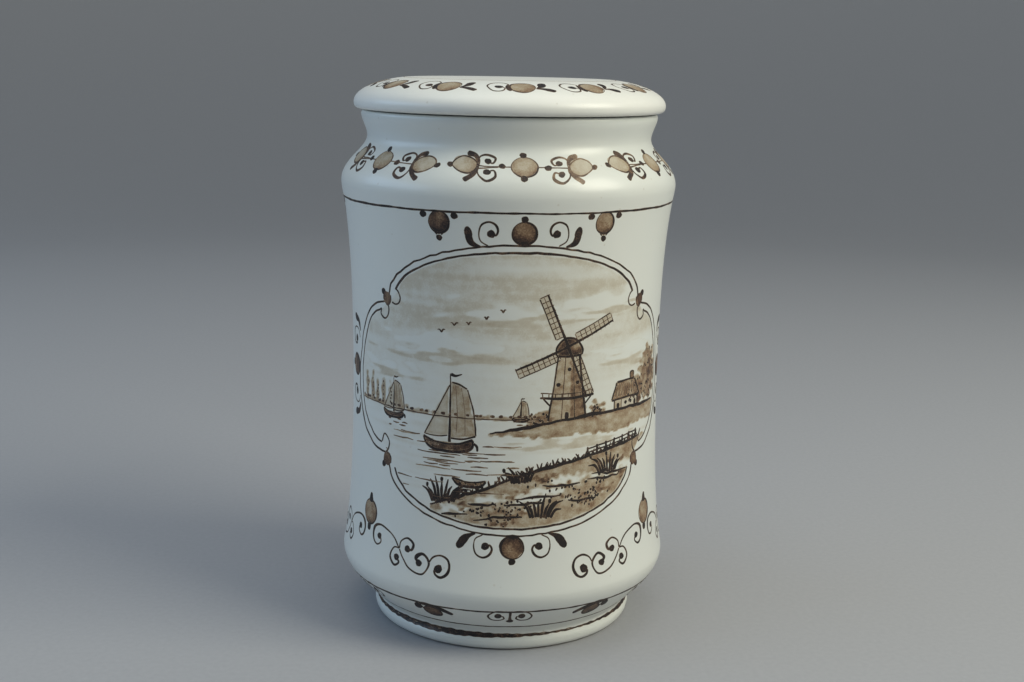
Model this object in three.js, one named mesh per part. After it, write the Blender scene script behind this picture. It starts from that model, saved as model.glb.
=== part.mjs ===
// A turned, glazed storage jar: waisted body on a foot ring, concave neck, and a flat
// overhanging lid that plugs the mouth with a flange and an elastic ring.
// Millimetres, +Z up, axis on Z, standing at Z = 0, painted front towards -Y.

import * as THREE from 'three';

// Facets round the axis, and steps along each curve of an outline.
const FACETS_ROUND = 60;
const STEPS_LONG = 6;
const STEPS_SHORT = 3;

// Height of the jar with its lid on.
const HEIGHT = 198.0;

// Radii of the jar's outer wall, at the circles where it is widest or narrowest.
const FOOT_CONTACT_RADIUS = 45.2;
const FOOT_RING_RADIUS = 48.4;
const FOOT_NECK_RADIUS = 47.4;
const BELLY_RADIUS = 60.3;
const WAIST_RADIUS = 56.35;
const SHOULDER_RADIUS = 60.3;
const NECK_RADIUS = 51.0;
const RIM_RADIUS = 53.1;

// Rise to each of those circles from the one below, from the table up to the waist.
const FOOT_RING_RISE = 3.4;
const FOOT_NECK_RISE = 2.8;
const BELLY_RISE = 18.8;
const WAIST_RISE = 71.0;

// Drop to each circle from the one above, from the rim's top down to the shoulder. The
// side between waist and shoulder takes what is left of the height.
const LIP_DROP = 1.3;
const RIM_DROP = 7.5;
const NECK_DROP = 16.2;

// Clay left between the outside and the hollow, and how far the hollow's widest circles
// lie inwards in height from those of the outside.
const WALL = 5.0;
const NECK_WALL = 4.4;
const FLOOR_THICKNESS = 6.5;
const FLOOR_CORNER_REACH = 17.0;
const HOLLOW_INSET = 2.5;
const LIP_ROUNDING = 0.9;

// Underside of the foot.
const FOOT_CONTACT_WIDTH = 3.8;
const FOOT_RECESS_DEPTH = 5.0;
const FOOT_RECESS_FILLET = 4.5;
const FOOT_INNER_BEVEL = 0.7;

// Lid above the rim.
const SEAT_GAP = 0.45;
const LID_OVERHANG = 2.65;
const LID_EDGE_RISE = 2.35;
const LID_CROWN_RISE = 8.9;
const LID_FLAT_RADIUS = 33.6;
const LID_EDGE_TUCK = 2.35;

// Lid below the rim: the flange that centres it in the mouth.
const LID_PLATE = 6.8;
const FLANGE_DROP = 10.2;
const FLANGE_WALL = 4.4;
const FLANGE_GAP = 2.3;
const FLANGE_ROUNDING = 1.2;
const LID_HOLLOW_FILLET = 3.0;

// Elastic ring in its groove round the flange.
const GROOVE_DEPTH = 1.5;
const GROOVE_HEIGHT = 4.6;
const GROOVE_BELOW_SEAT = 2.8;
const RING_CLEARANCE = 0.3;
const RING_MOUTH_CLEARANCE = 0.35;
const RING_FIN = 1.1;

// How long a curve stays upright where it leaves one circle and reaches the next,
// as shares of the rise between them.
const FOOT_CURVE = { leave: 0.3, arrive: 0.3 };
const BELLY_CURVE = { leave: 0.16, arrive: 0.43 };
const WAIST_CURVE = { leave: 0.05, arrive: 0.82 };
const SHOULDER_CURVE = { leave: 0.82, arrive: 0.06 };
const NECK_CURVE = { leave: 0.46, arrive: 0.31 };
const RIM_CURVE = { leave: 0.33, arrive: 0.27 };

// How the lid's top falls to its edge: the share of the fall that stays upright at the
// edge, and the share of the slope's width that stays level at the flat.
const CROWN_CURVE = { upright: 0.57, level: 0.47 };

// Points of an outline closer together than this are one point.
const SAME_POINT = 1e-6;

const glaze = new THREE.MeshStandardMaterial({ color: 0xdde1dd, roughness: 0.22, metalness: 0 });
const lidGlaze = new THREE.MeshStandardMaterial({ color: 0xe3e4dd, roughness: 0.2, metalness: 0 });
const elastomer = new THREE.MeshStandardMaterial({ color: 0xcdc8ba, roughness: 0.6, metalness: 0 });

// A point of an outline: distance from the axis, height above the table.
function at(radius, height) {
  return new THREE.Vector2(radius, height);
}

// A curve between two circles that is upright at both.
function swell(from, to, curve, steps = STEPS_LONG) {
  const rise = to.y - from.y;
  const leave = at(from.x, from.y + curve.leave * rise);
  const arrive = at(to.x, to.y - curve.arrive * rise);
  return new THREE.CubicBezierCurve(from, leave, arrive, to).getPoints(steps);
}

// A rounded corner.
function corner(from, tip, to, steps = STEPS_SHORT) {
  return new THREE.QuadraticBezierCurve(from, tip, to).getPoints(steps);
}

// Joins stretches of an outline, leaving out a point that repeats the one before.
function outline(...stretches) {
  const points = stretches.flat();
  return points.filter((point, i) => i === 0 || point.distanceTo(points[i - 1]) > SAME_POINT);
}

// A closed solid turned round Z from an outline that runs with the material on its left.
function turned(name, points, material) {
  const geometry = new THREE.LatheGeometry(points, FACETS_ROUND);
  geometry.rotateX(Math.PI / 2);
  const mesh = new THREE.Mesh(geometry, material);
  mesh.name = name;
  return mesh;
}

// Height of the lid's underside, and of the jar's rim that it rests over.
const SEAT = HEIGHT - LID_CROWN_RISE - LID_EDGE_RISE;
const RIM_TOP = SEAT - SEAT_GAP;

// The circles of the jar's outer wall.
function jarCircles() {
  const ring = at(FOOT_RING_RADIUS, FOOT_RING_RISE);
  const footNeck = at(FOOT_NECK_RADIUS, ring.y + FOOT_NECK_RISE);
  const belly = at(BELLY_RADIUS, footNeck.y + BELLY_RISE);
  const waist = at(WAIST_RADIUS, belly.y + WAIST_RISE);
  const rim = at(RIM_RADIUS, RIM_TOP - LIP_DROP);
  const neck = at(NECK_RADIUS, rim.y - RIM_DROP);
  const shoulder = at(SHOULDER_RADIUS, neck.y - NECK_DROP);
  return { ring, footNeck, belly, waist, shoulder, neck, rim };
}

const circle = jarCircles();
const FLOOR_TOP = FOOT_RECESS_DEPTH + FLOOR_THICKNESS;
const MOUTH_RADIUS = NECK_RADIUS - NECK_WALL;

// Underside of the jar, from the axis out to where it touches the table.
function footUnderside() {
  const contactInner = FOOT_CONTACT_RADIUS - FOOT_CONTACT_WIDTH;
  const side = at(contactInner - FOOT_INNER_BEVEL, FOOT_INNER_BEVEL);
  return outline(
    [at(0, FOOT_RECESS_DEPTH)],
    corner(at(side.x - FOOT_RECESS_FILLET, FOOT_RECESS_DEPTH), at(side.x, FOOT_RECESS_DEPTH), side),
    [at(contactInner, 0), at(FOOT_CONTACT_RADIUS, 0)],
  );
}

// Outside of the jar, from the table up to the rim.
function jarOutside() {
  return outline(
    corner(at(FOOT_CONTACT_RADIUS, 0), at(FOOT_RING_RADIUS, 0), circle.ring),
    swell(circle.ring, circle.footNeck, FOOT_CURVE, STEPS_SHORT),
    swell(circle.footNeck, circle.belly, BELLY_CURVE),
    swell(circle.belly, circle.waist, WAIST_CURVE),
    swell(circle.waist, circle.shoulder, SHOULDER_CURVE),
    swell(circle.shoulder, circle.neck, NECK_CURVE),
    swell(circle.neck, circle.rim, RIM_CURVE, STEPS_SHORT),
  );
}

// Top of the rim and the mouth's rounded edge, from the outside in.
function jarLip() {
  const outer = at(RIM_RADIUS, RIM_TOP);
  const mouth = at(MOUTH_RADIUS, RIM_TOP);
  return outline(
    corner(circle.rim, outer, at(outer.x - LIP_DROP, RIM_TOP)),
    corner(at(mouth.x + LIP_ROUNDING, RIM_TOP), mouth, at(mouth.x, RIM_TOP - LIP_ROUNDING)),
  );
}

// Inside of the jar, from the mouth down to the middle of the floor.
function jarInside() {
  const mouth = at(MOUTH_RADIUS, circle.neck.y);
  const shoulder = at(SHOULDER_RADIUS - WALL, circle.shoulder.y - HOLLOW_INSET);
  const waist = at(WAIST_RADIUS - WALL, circle.waist.y);
  const belly = at(BELLY_RADIUS - WALL, circle.belly.y + HOLLOW_INSET);
  const floorEdge = at(belly.x - FLOOR_CORNER_REACH, FLOOR_TOP);
  return outline(
    swell(mouth, shoulder, { leave: NECK_CURVE.arrive, arrive: NECK_CURVE.leave }),
    swell(shoulder, waist, { leave: SHOULDER_CURVE.arrive, arrive: SHOULDER_CURVE.leave }),
    swell(waist, belly, { leave: WAIST_CURVE.arrive, arrive: WAIST_CURVE.leave }),
    corner(belly, at(belly.x, FLOOR_TOP), floorEdge, STEPS_LONG),
    [at(0, FLOOR_TOP)],
  );
}

function jarBody() {
  const points = outline(footUnderside(), jarOutside(), jarLip(), jarInside());
  return turned('jar_body', points, glaze);
}

// Heights and radii that the lid takes from the jar's rim and mouth.
const LID_RADIUS = RIM_RADIUS + LID_OVERHANG;
const FLANGE_RADIUS = MOUTH_RADIUS - FLANGE_GAP;
const FLANGE_INNER = FLANGE_RADIUS - FLANGE_WALL;
const FLANGE_BOTTOM = SEAT - FLANGE_DROP;
const GROOVE_TOP = SEAT - GROOVE_BELOW_SEAT;
const GROOVE_BOTTOM = GROOVE_TOP - GROOVE_HEIGHT;
const GROOVE_FLOOR = FLANGE_RADIUS - GROOVE_DEPTH;

// Hollow under the lid, from the axis out and down to the flange's lower edge.
function lidHollow() {
  const ceiling = HEIGHT - LID_PLATE;
  const wallTop = at(FLANGE_INNER, ceiling - LID_HOLLOW_FILLET);
  const wallFoot = at(FLANGE_INNER, FLANGE_BOTTOM + FLANGE_ROUNDING);
  const underInner = at(FLANGE_INNER + FLANGE_ROUNDING, FLANGE_BOTTOM);
  return outline(
    [at(0, ceiling)],
    corner(at(FLANGE_INNER - LID_HOLLOW_FILLET, ceiling), at(FLANGE_INNER, ceiling), wallTop),
    corner(wallFoot, at(FLANGE_INNER, FLANGE_BOTTOM), underInner),
  );
}

// Outside of the flange with its groove, up to the lid's underside.
function flangeOutside() {
  const underOuter = at(FLANGE_RADIUS - FLANGE_ROUNDING, FLANGE_BOTTOM);
  const side = at(FLANGE_RADIUS, FLANGE_BOTTOM + FLANGE_ROUNDING);
  return outline(
    corner(underOuter, at(FLANGE_RADIUS, FLANGE_BOTTOM), side),
    [at(FLANGE_RADIUS, GROOVE_BOTTOM), at(GROOVE_FLOOR, GROOVE_BOTTOM)],
    [at(GROOVE_FLOOR, GROOVE_TOP), at(FLANGE_RADIUS, GROOVE_TOP)],
    [at(FLANGE_RADIUS, SEAT)],
  );
}

// Rounded edge and gently falling top of the lid, in to the axis.
function lidTop() {
  const widest = at(LID_RADIUS, SEAT + LID_EDGE_RISE);
  const flatEdge = at(LID_FLAT_RADIUS, HEIGHT);
  const slopeWidth = LID_RADIUS - LID_FLAT_RADIUS;
  const upright = at(LID_RADIUS, widest.y + CROWN_CURVE.upright * LID_CROWN_RISE);
  const level = at(LID_FLAT_RADIUS + CROWN_CURVE.level * slopeWidth, HEIGHT);
  return outline(
    corner(at(LID_RADIUS - LID_EDGE_TUCK, SEAT), at(LID_RADIUS, SEAT), widest),
    new THREE.CubicBezierCurve(widest, upright, level, flatEdge).getPoints(STEPS_LONG),
    [at(0, HEIGHT)],
  );
}

function lid() {
  return turned('lid', outline(lidHollow(), flangeOutside(), lidTop()), lidGlaze);
}

// Elastic ring: a band in the groove with two fins that wipe the mouth.
function lidSeal() {
  const inner = GROOVE_FLOOR + RING_CLEARANCE;
  const band = FLANGE_RADIUS + RING_CLEARANCE;
  const tip = MOUTH_RADIUS - RING_MOUTH_CLEARANCE;
  const low = GROOVE_BOTTOM + RING_CLEARANCE;
  const high = GROOVE_TOP - RING_CLEARANCE;
  const points = [
    at(inner, low),
    at(tip, low),
    at(tip, low + RING_FIN),
    at(band, low + RING_FIN),
    at(band, high - RING_FIN),
    at(tip, high - RING_FIN),
    at(tip, high),
    at(inner, high),
    at(inner, low),
  ];
  return turned('lid_seal', points, elastomer);
}

const jar = new THREE.Group();
jar.add(jarBody(), lidSeal(), lid());

export default jar;
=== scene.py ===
# %% [markdown]
# # A painted storage jar
# The real object is a turned earthenware jar with a flat lid that overhangs the rim. It is
# covered with an opaque white glaze and painted in one sepia pigment, thick for lines and
# thinned with water for washes. This lesson dresses the engineering model of the jar: it
# turns smooth skins over the faceted solids, gives them glaze, and then paints them with
# thin strokes of pigment that follow the curved wall.

# %% Load the fixed frame
import math
from collections import namedtuple

import bpy
import numpy as np
from mathutils import Matrix, Vector


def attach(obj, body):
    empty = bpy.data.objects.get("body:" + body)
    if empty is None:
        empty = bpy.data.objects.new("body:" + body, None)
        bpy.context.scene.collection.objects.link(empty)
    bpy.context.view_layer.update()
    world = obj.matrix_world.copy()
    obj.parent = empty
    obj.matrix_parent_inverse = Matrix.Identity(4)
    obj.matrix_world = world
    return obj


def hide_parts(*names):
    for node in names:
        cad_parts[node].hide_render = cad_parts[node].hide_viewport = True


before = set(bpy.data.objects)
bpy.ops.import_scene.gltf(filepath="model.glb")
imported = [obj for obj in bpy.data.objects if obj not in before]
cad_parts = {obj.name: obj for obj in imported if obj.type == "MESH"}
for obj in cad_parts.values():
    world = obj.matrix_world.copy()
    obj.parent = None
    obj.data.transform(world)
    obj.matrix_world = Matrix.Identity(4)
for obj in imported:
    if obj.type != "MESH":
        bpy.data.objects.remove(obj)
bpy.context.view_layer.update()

MM = 0.001
FULL_TURN = 2 * math.pi

# %% [markdown]
# ## Where the photographer stood
# A camera can be guessed by eye or worked out. Here the outline of the jar and its painted
# rings, which are all circles round one axis, were matched to the picture, which gives the
# focal length, the place and a slight roll of the camera. The jar keeps its painted front
# towards -Y, so the camera stands a few degrees to the left of it.

# %% Camera
PICTURE_WIDTH = 1024
FOCAL_LENGTH_PIXELS = 1364.8
SENSOR_WIDTH = 36.0
CAMERA_PLACE = Vector((-34.7, -496.1, 206.3)) * MM
CAMERA_YAW = math.radians(4.27)
CAMERA_PITCH = math.radians(-11.86)
CAMERA_ROLL = math.radians(1.04)


def make_camera():
    """Stands the camera at its place and makes it the scene's own."""
    lens = bpy.data.cameras.new("camera")
    lens.sensor_width = SENSOR_WIDTH
    lens.lens = FOCAL_LENGTH_PIXELS * SENSOR_WIDTH / PICTURE_WIDTH
    camera = bpy.data.objects.new("camera", lens)
    level = math.cos(CAMERA_PITCH)
    ahead = Vector((math.sin(CAMERA_YAW) * level, math.cos(CAMERA_YAW) * level, math.sin(CAMERA_PITCH)))
    right = Vector((math.cos(CAMERA_YAW), -math.sin(CAMERA_YAW), 0))
    up = right.cross(ahead)
    turn = Matrix.Rotation(CAMERA_ROLL, 3, -ahead)
    axes = Matrix((turn @ right, turn @ up, -ahead)).transposed()
    camera.matrix_world = Matrix.Translation(CAMERA_PLACE) @ axes.to_4x4()
    bpy.context.scene.collection.objects.link(camera)
    bpy.context.scene.camera = camera
    return camera


camera = make_camera()
print("lens in mm:", round(camera.data.lens, 2))

# %% [markdown]
# ## Colour and nodes
# Colours are written as hex values, as a paint program shows them. The renderer mixes light
# in linear values, so one function turns one into the other. One more adds a shader node,
# with its settings by name. An input is a number, a hex colour, an output of another node,
# or a whole node, whose first live output is then linked. A Mix node has several inputs
# called A and B, so its two colours go by their places in the list.

# %% Helpers for colour and nodes
MIX_A, MIX_B = 6, 7


def linear(hex_colour):
    """An sRGB hex colour as linear red, green, blue and full opacity."""
    parts = [int(hex_colour[i : i + 2], 16) / 255 for i in (1, 3, 5)]
    return [p / 12.92 if p <= 0.04045 else ((p + 0.055) / 1.055) ** 2.4 for p in parts] + [1.0]


def add_node(tree, kind, inputs=None, **settings):
    """Adds a node of that kind, sets it and links it."""
    made = tree.nodes.new("ShaderNode" + kind)
    for name, value in settings.items():
        setattr(made, name, value)
    for name, value in (inputs or {}).items():
        if isinstance(value, bpy.types.Node):
            value = next(socket for socket in value.outputs if socket.enabled)
        if isinstance(value, bpy.types.NodeSocket):
            tree.links.new(value, made.inputs[name])
        else:
            made.inputs[name].default_value = linear(value) if isinstance(value, str) else value
    return made


def new_material(name):
    """An empty node material and its tree."""
    material = bpy.data.materials.new(name)
    material.use_nodes = True
    material.node_tree.nodes.clear()
    return material, material.node_tree


print("mid grey is", round(linear("#808080")[0], 3), "of white in linear light")

# %% [markdown]
# ## The studio
# The jar stands on seamless paper: a floor that bends up into a backdrop. A studio bends it
# at the back only; here it does so all round, so that no edge shows from any side. The
# paper is a mid grey underfoot and is painted paler with height: painted light, standing in
# for the lamps lighting the upper backdrop more. A warm soft light, like a window, comes
# from the upper right. A cooler and weaker one stands at the left, clear of the floor, and
# a wide one over the jar lights the lid.

# %% Floor and backdrop
PAPER_FLOOR_RADIUS = 1.10
PAPER_BEND_RADIUS = 1.55
PAPER_TOP = 1.60
PAPER_PAINTED_LIGHT_HEIGHT = 0.80
PAPER_GRAIN = 2.0 * MM
PAPER_SIDES = 96
PAPER_BEND_STEP = 5


def make_paper():
    """A round sheet: a flat floor, a wide bend and a short upright edge on every side."""
    run = []
    for degrees in range(0, 91, PAPER_BEND_STEP):
        lean = math.radians(degrees)
        out, up = PAPER_BEND_RADIUS * math.sin(lean), PAPER_BEND_RADIUS * (1 - math.cos(lean))
        run.append((PAPER_FLOOR_RADIUS + out, up))
    run.append((PAPER_FLOOR_RADIUS + PAPER_BEND_RADIUS, PAPER_TOP))
    turns = [FULL_TURN * i / PAPER_SIDES for i in range(PAPER_SIDES)]
    corners = [(out * math.cos(turn), out * math.sin(turn), up) for out, up in run for turn in turns]
    faces = [tuple(range(PAPER_SIDES))]
    for low in range(0, PAPER_SIDES * (len(run) - 1), PAPER_SIDES):
        for i in range(PAPER_SIDES):
            j = (i + 1) % PAPER_SIDES
            faces.append((low + j, low + i, low + PAPER_SIDES + i, low + PAPER_SIDES + j))
    mesh = bpy.data.meshes.new("paper")
    mesh.from_pydata(corners, [], faces)
    mesh.shade_smooth()
    paper = bpy.data.objects.new("paper", mesh)
    bpy.context.scene.collection.objects.link(paper)
    material, tree = new_material("seamless_paper")
    place = add_node(tree, "TexCoord").outputs["Object"]
    grain = add_node(tree, "TexNoise", {"Vector": place, "Scale": 1 / PAPER_GRAIN, "Detail": 3.0})
    tone = add_node(tree, "Mix", {"Factor": grain, MIX_A: "#9d9ea3", MIX_B: "#a8a9ad"}, data_type="RGBA")
    # Painted light: the paper's grey turns paler with height, standing in for brighter light up the backdrop.
    height = add_node(tree, "SeparateXYZ", {"Vector": place}).outputs["Z"]
    climb = add_node(tree, "MapRange", {"Value": height, "From Max": PAPER_PAINTED_LIGHT_HEIGHT})
    paper_with_painted_light = add_node(tree, "Mix", {"Factor": climb, MIX_A: tone, MIX_B: "#dcdad9"}, data_type="RGBA")
    matt = add_node(tree, "BsdfPrincipled", {"Base Color": paper_with_painted_light, "Roughness": 0.9})
    add_node(tree, "OutputMaterial", {"Surface": matt})
    mesh.materials.append(material)
    return paper


paper = make_paper()
print("paper in m across:", round(paper.dimensions.x, 2), "high:", round(paper.dimensions.z, 2))

# %% Lamps and the light of the room
LAMP_TARGET = Vector((0, 0, 100)) * MM


def add_lamp(name, azimuth, elevation, distance, wide, high, watts, colour):
    """A soft light that faces the middle of the jar."""
    lamp = bpy.data.lights.new(name, "AREA")
    lamp.shape = "RECTANGLE"
    lamp.size, lamp.size_y = wide, high
    lamp.energy = watts
    lamp.color = linear(colour)[:3]
    aside, level = math.radians(azimuth), math.cos(math.radians(elevation))
    away = Vector((math.sin(aside) * level, -math.cos(aside) * level, math.sin(math.radians(elevation))))
    stand = bpy.data.objects.new(name, lamp)
    stand.location = LAMP_TARGET + away * distance
    stand.rotation_mode = "QUATERNION"
    stand.rotation_quaternion = away.to_track_quat("Z", "Y")
    bpy.context.scene.collection.objects.link(stand)


def light_room():
    """Even soft light from the room itself."""
    world = bpy.data.worlds.new("room")
    bpy.context.scene.world = world
    world.use_nodes = True
    world.node_tree.nodes.clear()
    room = add_node(world.node_tree, "Background", {"Color": "#bfcad4", "Strength": 0.30})
    add_node(world.node_tree, "OutputWorld", {"Surface": room})


light_room()
add_lamp("window_right", 62, 36, 1.15, 0.62, 0.62, 9.5, "#faf7e4")
add_lamp("window_left", -88, 20, 1.30, 1.30, 0.50, 5.1, "#b9dcff")
add_lamp("ceiling", 10, 84, 1.20, 1.30, 1.30, 6.4, "#fbfbf4")
bpy.context.scene.view_settings.view_transform = "Standard"
print("lamps:", len(bpy.data.lights))

# %% [markdown]
# ## The turned outline
# A thrown jar is a solid of revolution, so its whole shape is one outline. The engineering
# model gives the circles where the wall is widest or narrowest; here the same circles are
# joined by the same curves in finer steps, because a glossy skin shows every facet. Sizes
# are millimetres: a pair is the distance from the axis and the height above the table. A
# rounding is how far from its corner a rounded edge starts.

# %% Circles of the outline
RING = (48.4, 3.4)
FOOT_NECK = (47.4, 6.2)
BELLY = (60.3, 25.0)
WAIST = (56.35, 96.0)
SHOULDER = (60.3, 161.3)
NECK = (51.0, 177.5)
RIM = (53.1, 185.0)
RIM_TOP = 186.3
WALL = 5.0
NECK_WALL = 4.4
HOLLOW_INSET = 2.5
FLOOR_TOP = 11.5
FLOOR_ROUNDING = 17.0
FOOT_CONTACT = (41.4, 45.2)
FOOT_RECESS = 5.0
FOOT_RECESS_ROUNDING = 4.5
FOOT_CHAMFER = 0.7
RIM_OUTER_ROUNDING = 1.3
RIM_INNER_ROUNDING = 0.9
SEAT = 186.75
LID_RADIUS = 55.75
LID_WIDEST = 189.1
LID_TOP = 198.0
LID_FLAT_RADIUS = 33.6
LID_MIDDLE_RADIUS = 20.0
LID_PLATE = 6.8
LID_EDGE_ROUNDING = 2.35
LID_CORNER_ROUNDING = 3.0
FLANGE = (39.9, 44.3)
FLANGE_BOTTOM = 176.55
FLANGE_ROUNDING = 1.2
GROOVE = (42.8, 179.35, 183.95)
print("body widest at", 2 * BELLY[0], "and", 2 * SHOULDER[0], "mm, waist", 2 * WAIST[0], "mm")

# %% Curves between them
LONG_STEPS = 36
SHORT_STEPS = 10
SAME_POINT = 1e-6


def bend(points, steps):
    """A Bezier curve through two ends, led by the one or two points between them."""
    points = np.array(points, float)
    share = np.linspace(0, 1, steps + 1)[:, None]
    last = len(points) - 1
    weights = [math.comb(last, i) * share**i * (1 - share) ** (last - i) for i in range(last + 1)]
    return sum(weight * point for weight, point in zip(weights, points))


def rounded(corner, leave, arrive, steps=SHORT_STEPS):
    """A rounded edge: its sharp corner, and the ways from there to its two ends."""
    return bend([np.add(corner, leave), corner, np.add(corner, arrive)], steps)


def swell(low, high, leave, arrive, steps=LONG_STEPS):
    """The wall between two circles, upright at both."""
    rise = high[1] - low[1]
    return bend([low, (low[0], low[1] + leave * rise), (high[0], high[1] - arrive * rise), high], steps)


def join(*stretches):
    """One outline from several, without doubled points."""
    points = np.vstack([np.atleast_2d(stretch) for stretch in stretches])
    kept = np.r_[True, np.linalg.norm(np.diff(points, axis=0), axis=1) > SAME_POINT]
    return points[kept]


print("steps of a long curve:", LONG_STEPS, "and of a rounded edge:", SHORT_STEPS)

# %% Outline of the jar
jar_wall_outline = join(
    swell(RING, FOOT_NECK, 0.3, 0.3, SHORT_STEPS),
    swell(FOOT_NECK, BELLY, 0.16, 0.43),
    swell(BELLY, WAIST, 0.05, 0.82, 2 * LONG_STEPS),
    swell(WAIST, SHOULDER, 0.82, 0.06, 2 * LONG_STEPS),
    swell(SHOULDER, NECK, 0.46, 0.31),
    swell(NECK, RIM, 0.33, 0.27, SHORT_STEPS),
)

mouth = NECK[0] - NECK_WALL
foot_side = FOOT_CONTACT[0] - FOOT_CHAMFER
jar_underside = join(
    (0, FOOT_RECESS),
    rounded((foot_side, FOOT_RECESS), (-FOOT_RECESS_ROUNDING, 0), (0, FOOT_CHAMFER - FOOT_RECESS)),
    (FOOT_CONTACT[0], 0),
    rounded((RING[0], 0), (FOOT_CONTACT[1] - RING[0], 0), (0, RING[1])),
)
jar_lip = join(
    rounded((RIM[0], RIM_TOP), (0, RIM[1] - RIM_TOP), (-RIM_OUTER_ROUNDING, 0)),
    rounded((mouth, RIM_TOP), (RIM_INNER_ROUNDING, 0), (0, -RIM_INNER_ROUNDING)),
)
inner_shoulder = (SHOULDER[0] - WALL, SHOULDER[1] - HOLLOW_INSET)
inner_waist = (WAIST[0] - WALL, WAIST[1])
inner_belly = (BELLY[0] - WALL, BELLY[1] + HOLLOW_INSET)
jar_inside = join(
    swell((mouth, NECK[1]), inner_shoulder, 0.31, 0.46),
    swell(inner_shoulder, inner_waist, 0.06, 0.82),
    swell(inner_waist, inner_belly, 0.82, 0.05),
    rounded((inner_belly[0], FLOOR_TOP), (0, inner_belly[1] - FLOOR_TOP), (-FLOOR_ROUNDING, 0)),
    (0, FLOOR_TOP),
)
jar_outline = join(jar_underside, jar_wall_outline, jar_lip, jar_inside)
print("points in the outline of the jar:", len(jar_outline))

# %% Outline of the lid
crown = LID_TOP - LID_WIDEST
slope = LID_RADIUS - LID_FLAT_RADIUS
lid_edge = rounded((LID_RADIUS, SEAT), (-LID_EDGE_ROUNDING, 0), (0, LID_WIDEST - SEAT))
lid_slope = bend(
    [
        (LID_RADIUS, LID_WIDEST),
        (LID_RADIUS, LID_WIDEST + 0.57 * crown),
        (LID_FLAT_RADIUS + 0.47 * slope, LID_TOP),
        (LID_FLAT_RADIUS, LID_TOP),
    ],
    LONG_STEPS,
)
lid_ceiling = LID_TOP - LID_PLATE
flange_inner, flange_outer = FLANGE
groove_bottom, groove_low, groove_high = GROOVE
lid_underside = join(
    (0, lid_ceiling),
    rounded((flange_inner, lid_ceiling), (-LID_CORNER_ROUNDING, 0), (0, -LID_CORNER_ROUNDING)),
    rounded((flange_inner, FLANGE_BOTTOM), (0, FLANGE_ROUNDING), (FLANGE_ROUNDING, 0)),
    rounded((flange_outer, FLANGE_BOTTOM), (-FLANGE_ROUNDING, 0), (0, FLANGE_ROUNDING)),
    [(flange_outer, groove_low), (groove_bottom, groove_low)],
    [(groove_bottom, groove_high), (flange_outer, groove_high)],
    (flange_outer, SEAT),
)
lid_middle = [(LID_MIDDLE_RADIUS, LID_TOP), (0, LID_TOP)]
lid_outline = join(lid_underside, lid_edge, lid_slope, lid_middle)
print("points in the outline of the lid:", len(lid_outline))

# %% [markdown]
# ## Turning the outline
# A screw modifier would turn an outline too. Building the rings by hand costs a few more
# lines, but it gives each corner its place on a flat map of the wall, which the painted
# layers use as well. With 240 segments the chords of the wall stay within 0.006 mm of the
# true circle, less than the thickness of the paint that lies on it.

# %% Turn an outline into a mesh
SEGMENTS = 240
BAKE_MAP = "OFBake"


def new_piece(name, corners, faces, material, flat_map, pigment):
    """A smooth mesh object from points in millimetres, with its flat map and its pigment per point."""
    mesh = bpy.data.meshes.new(name)
    mesh.from_pydata((np.asarray(corners) * MM).tolist(), [], faces)
    mesh.materials.append(material)
    layer = mesh.uv_layers.new(name=BAKE_MAP)
    layer.data.foreach_set("uv", np.asarray(flat_map, np.float32).ravel())
    layer = mesh.attributes.new("pigment", "FLOAT", "POINT")
    layer.data.foreach_set("value", np.asarray(pigment, np.float32))
    mesh.validate()
    mesh.shade_smooth()
    piece = bpy.data.objects.new(name, mesh)
    bpy.context.scene.collection.objects.link(piece)
    return piece


def turned(name, outline, material, segments=SEGMENTS):
    """A smooth solid of revolution from an outline with the material on its left."""
    along = np.r_[0, np.cumsum(np.linalg.norm(np.diff(outline, axis=0), axis=1))]
    along /= along[-1]
    angles = np.arange(segments) * FULL_TURN / segments
    corners, rings = [], []
    for radius, height in outline:
        first = len(corners)
        if radius < SAME_POINT:
            corners.append((0, 0, height))
            rings.append([first] * (segments + 1))
        else:
            corners += [(radius * math.sin(angle), -radius * math.cos(angle), height) for angle in angles]
            rings.append([first + i % segments for i in range(segments + 1)])
    faces, flat_map = [], []
    for i, (low, high) in enumerate(zip(rings, rings[1:])):
        for j in range(segments):
            u, next_u = j / segments, (j + 1) / segments
            face = [(low[j], u, along[i])]
            if low[j] != low[j + 1]:
                face.append((low[j + 1], next_u, along[i]))
            face.append((high[j + 1], next_u, along[i + 1]))
            if high[j] != high[j + 1]:
                face.append((high[j], u, along[i + 1]))
            faces.append([corner[0] for corner in face])
            flat_map += [corner[1:] for corner in face]
    return new_piece(name, corners, faces, material, flat_map, np.zeros(len(corners)))


# %% [markdown]
# ## Glaze over sepia
# The body is earthenware under an opaque white tin glaze, sprayed or dipped and fired
# glossy. Fired glaze is glass, so its index of refraction is 1.5; it is not perfectly
# smooth, and a shallow ripple a few millimetres wide breaks up its highlights. The white
# drifts a little between cool and warm where the coat is thicker or thinner.
#
# The paint is one pigment at different strengths. Instead of a material for each tint, each
# point of the mesh holds how much pigment lies there, from 0 to 1, and the glaze material
# turns that into colour. A fine noise thins and gathers the pigment, as it does in water on
# a dusty unfired glaze, and painted places fire a little duller than the white. The bare
# ring of clay that stood on the kiln shelf is left buff.

# %% Sizes and strengths of the glaze
GLAZE_DRIFT = 38 * MM
GLAZE_RIPPLE = 5.5 * MM
GLAZE_RIPPLE_DEPTH = 0.05 * MM
IRON_SPECK_SPACING = 5.6 * MM
IRON_SPECK_CORE, IRON_SPECK_EDGE = 0.05, 0.09
IRON_SPECK_STRENGTH = 0.25
PIGMENT_GRAIN = 0.55 * MM
PIGMENT_CLOUD = 3.2 * MM
PIGMENT_DULLS = 0.28
PIGMENT_COVERS = 0.10
GATHER_GAIN, GATHER_LOSS = 1.15, 0.15
BARE_CLAY_HEIGHT = (0.25 * MM, 0.7 * MM)
BARE_CLAY_DULLS = 0.5

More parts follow.
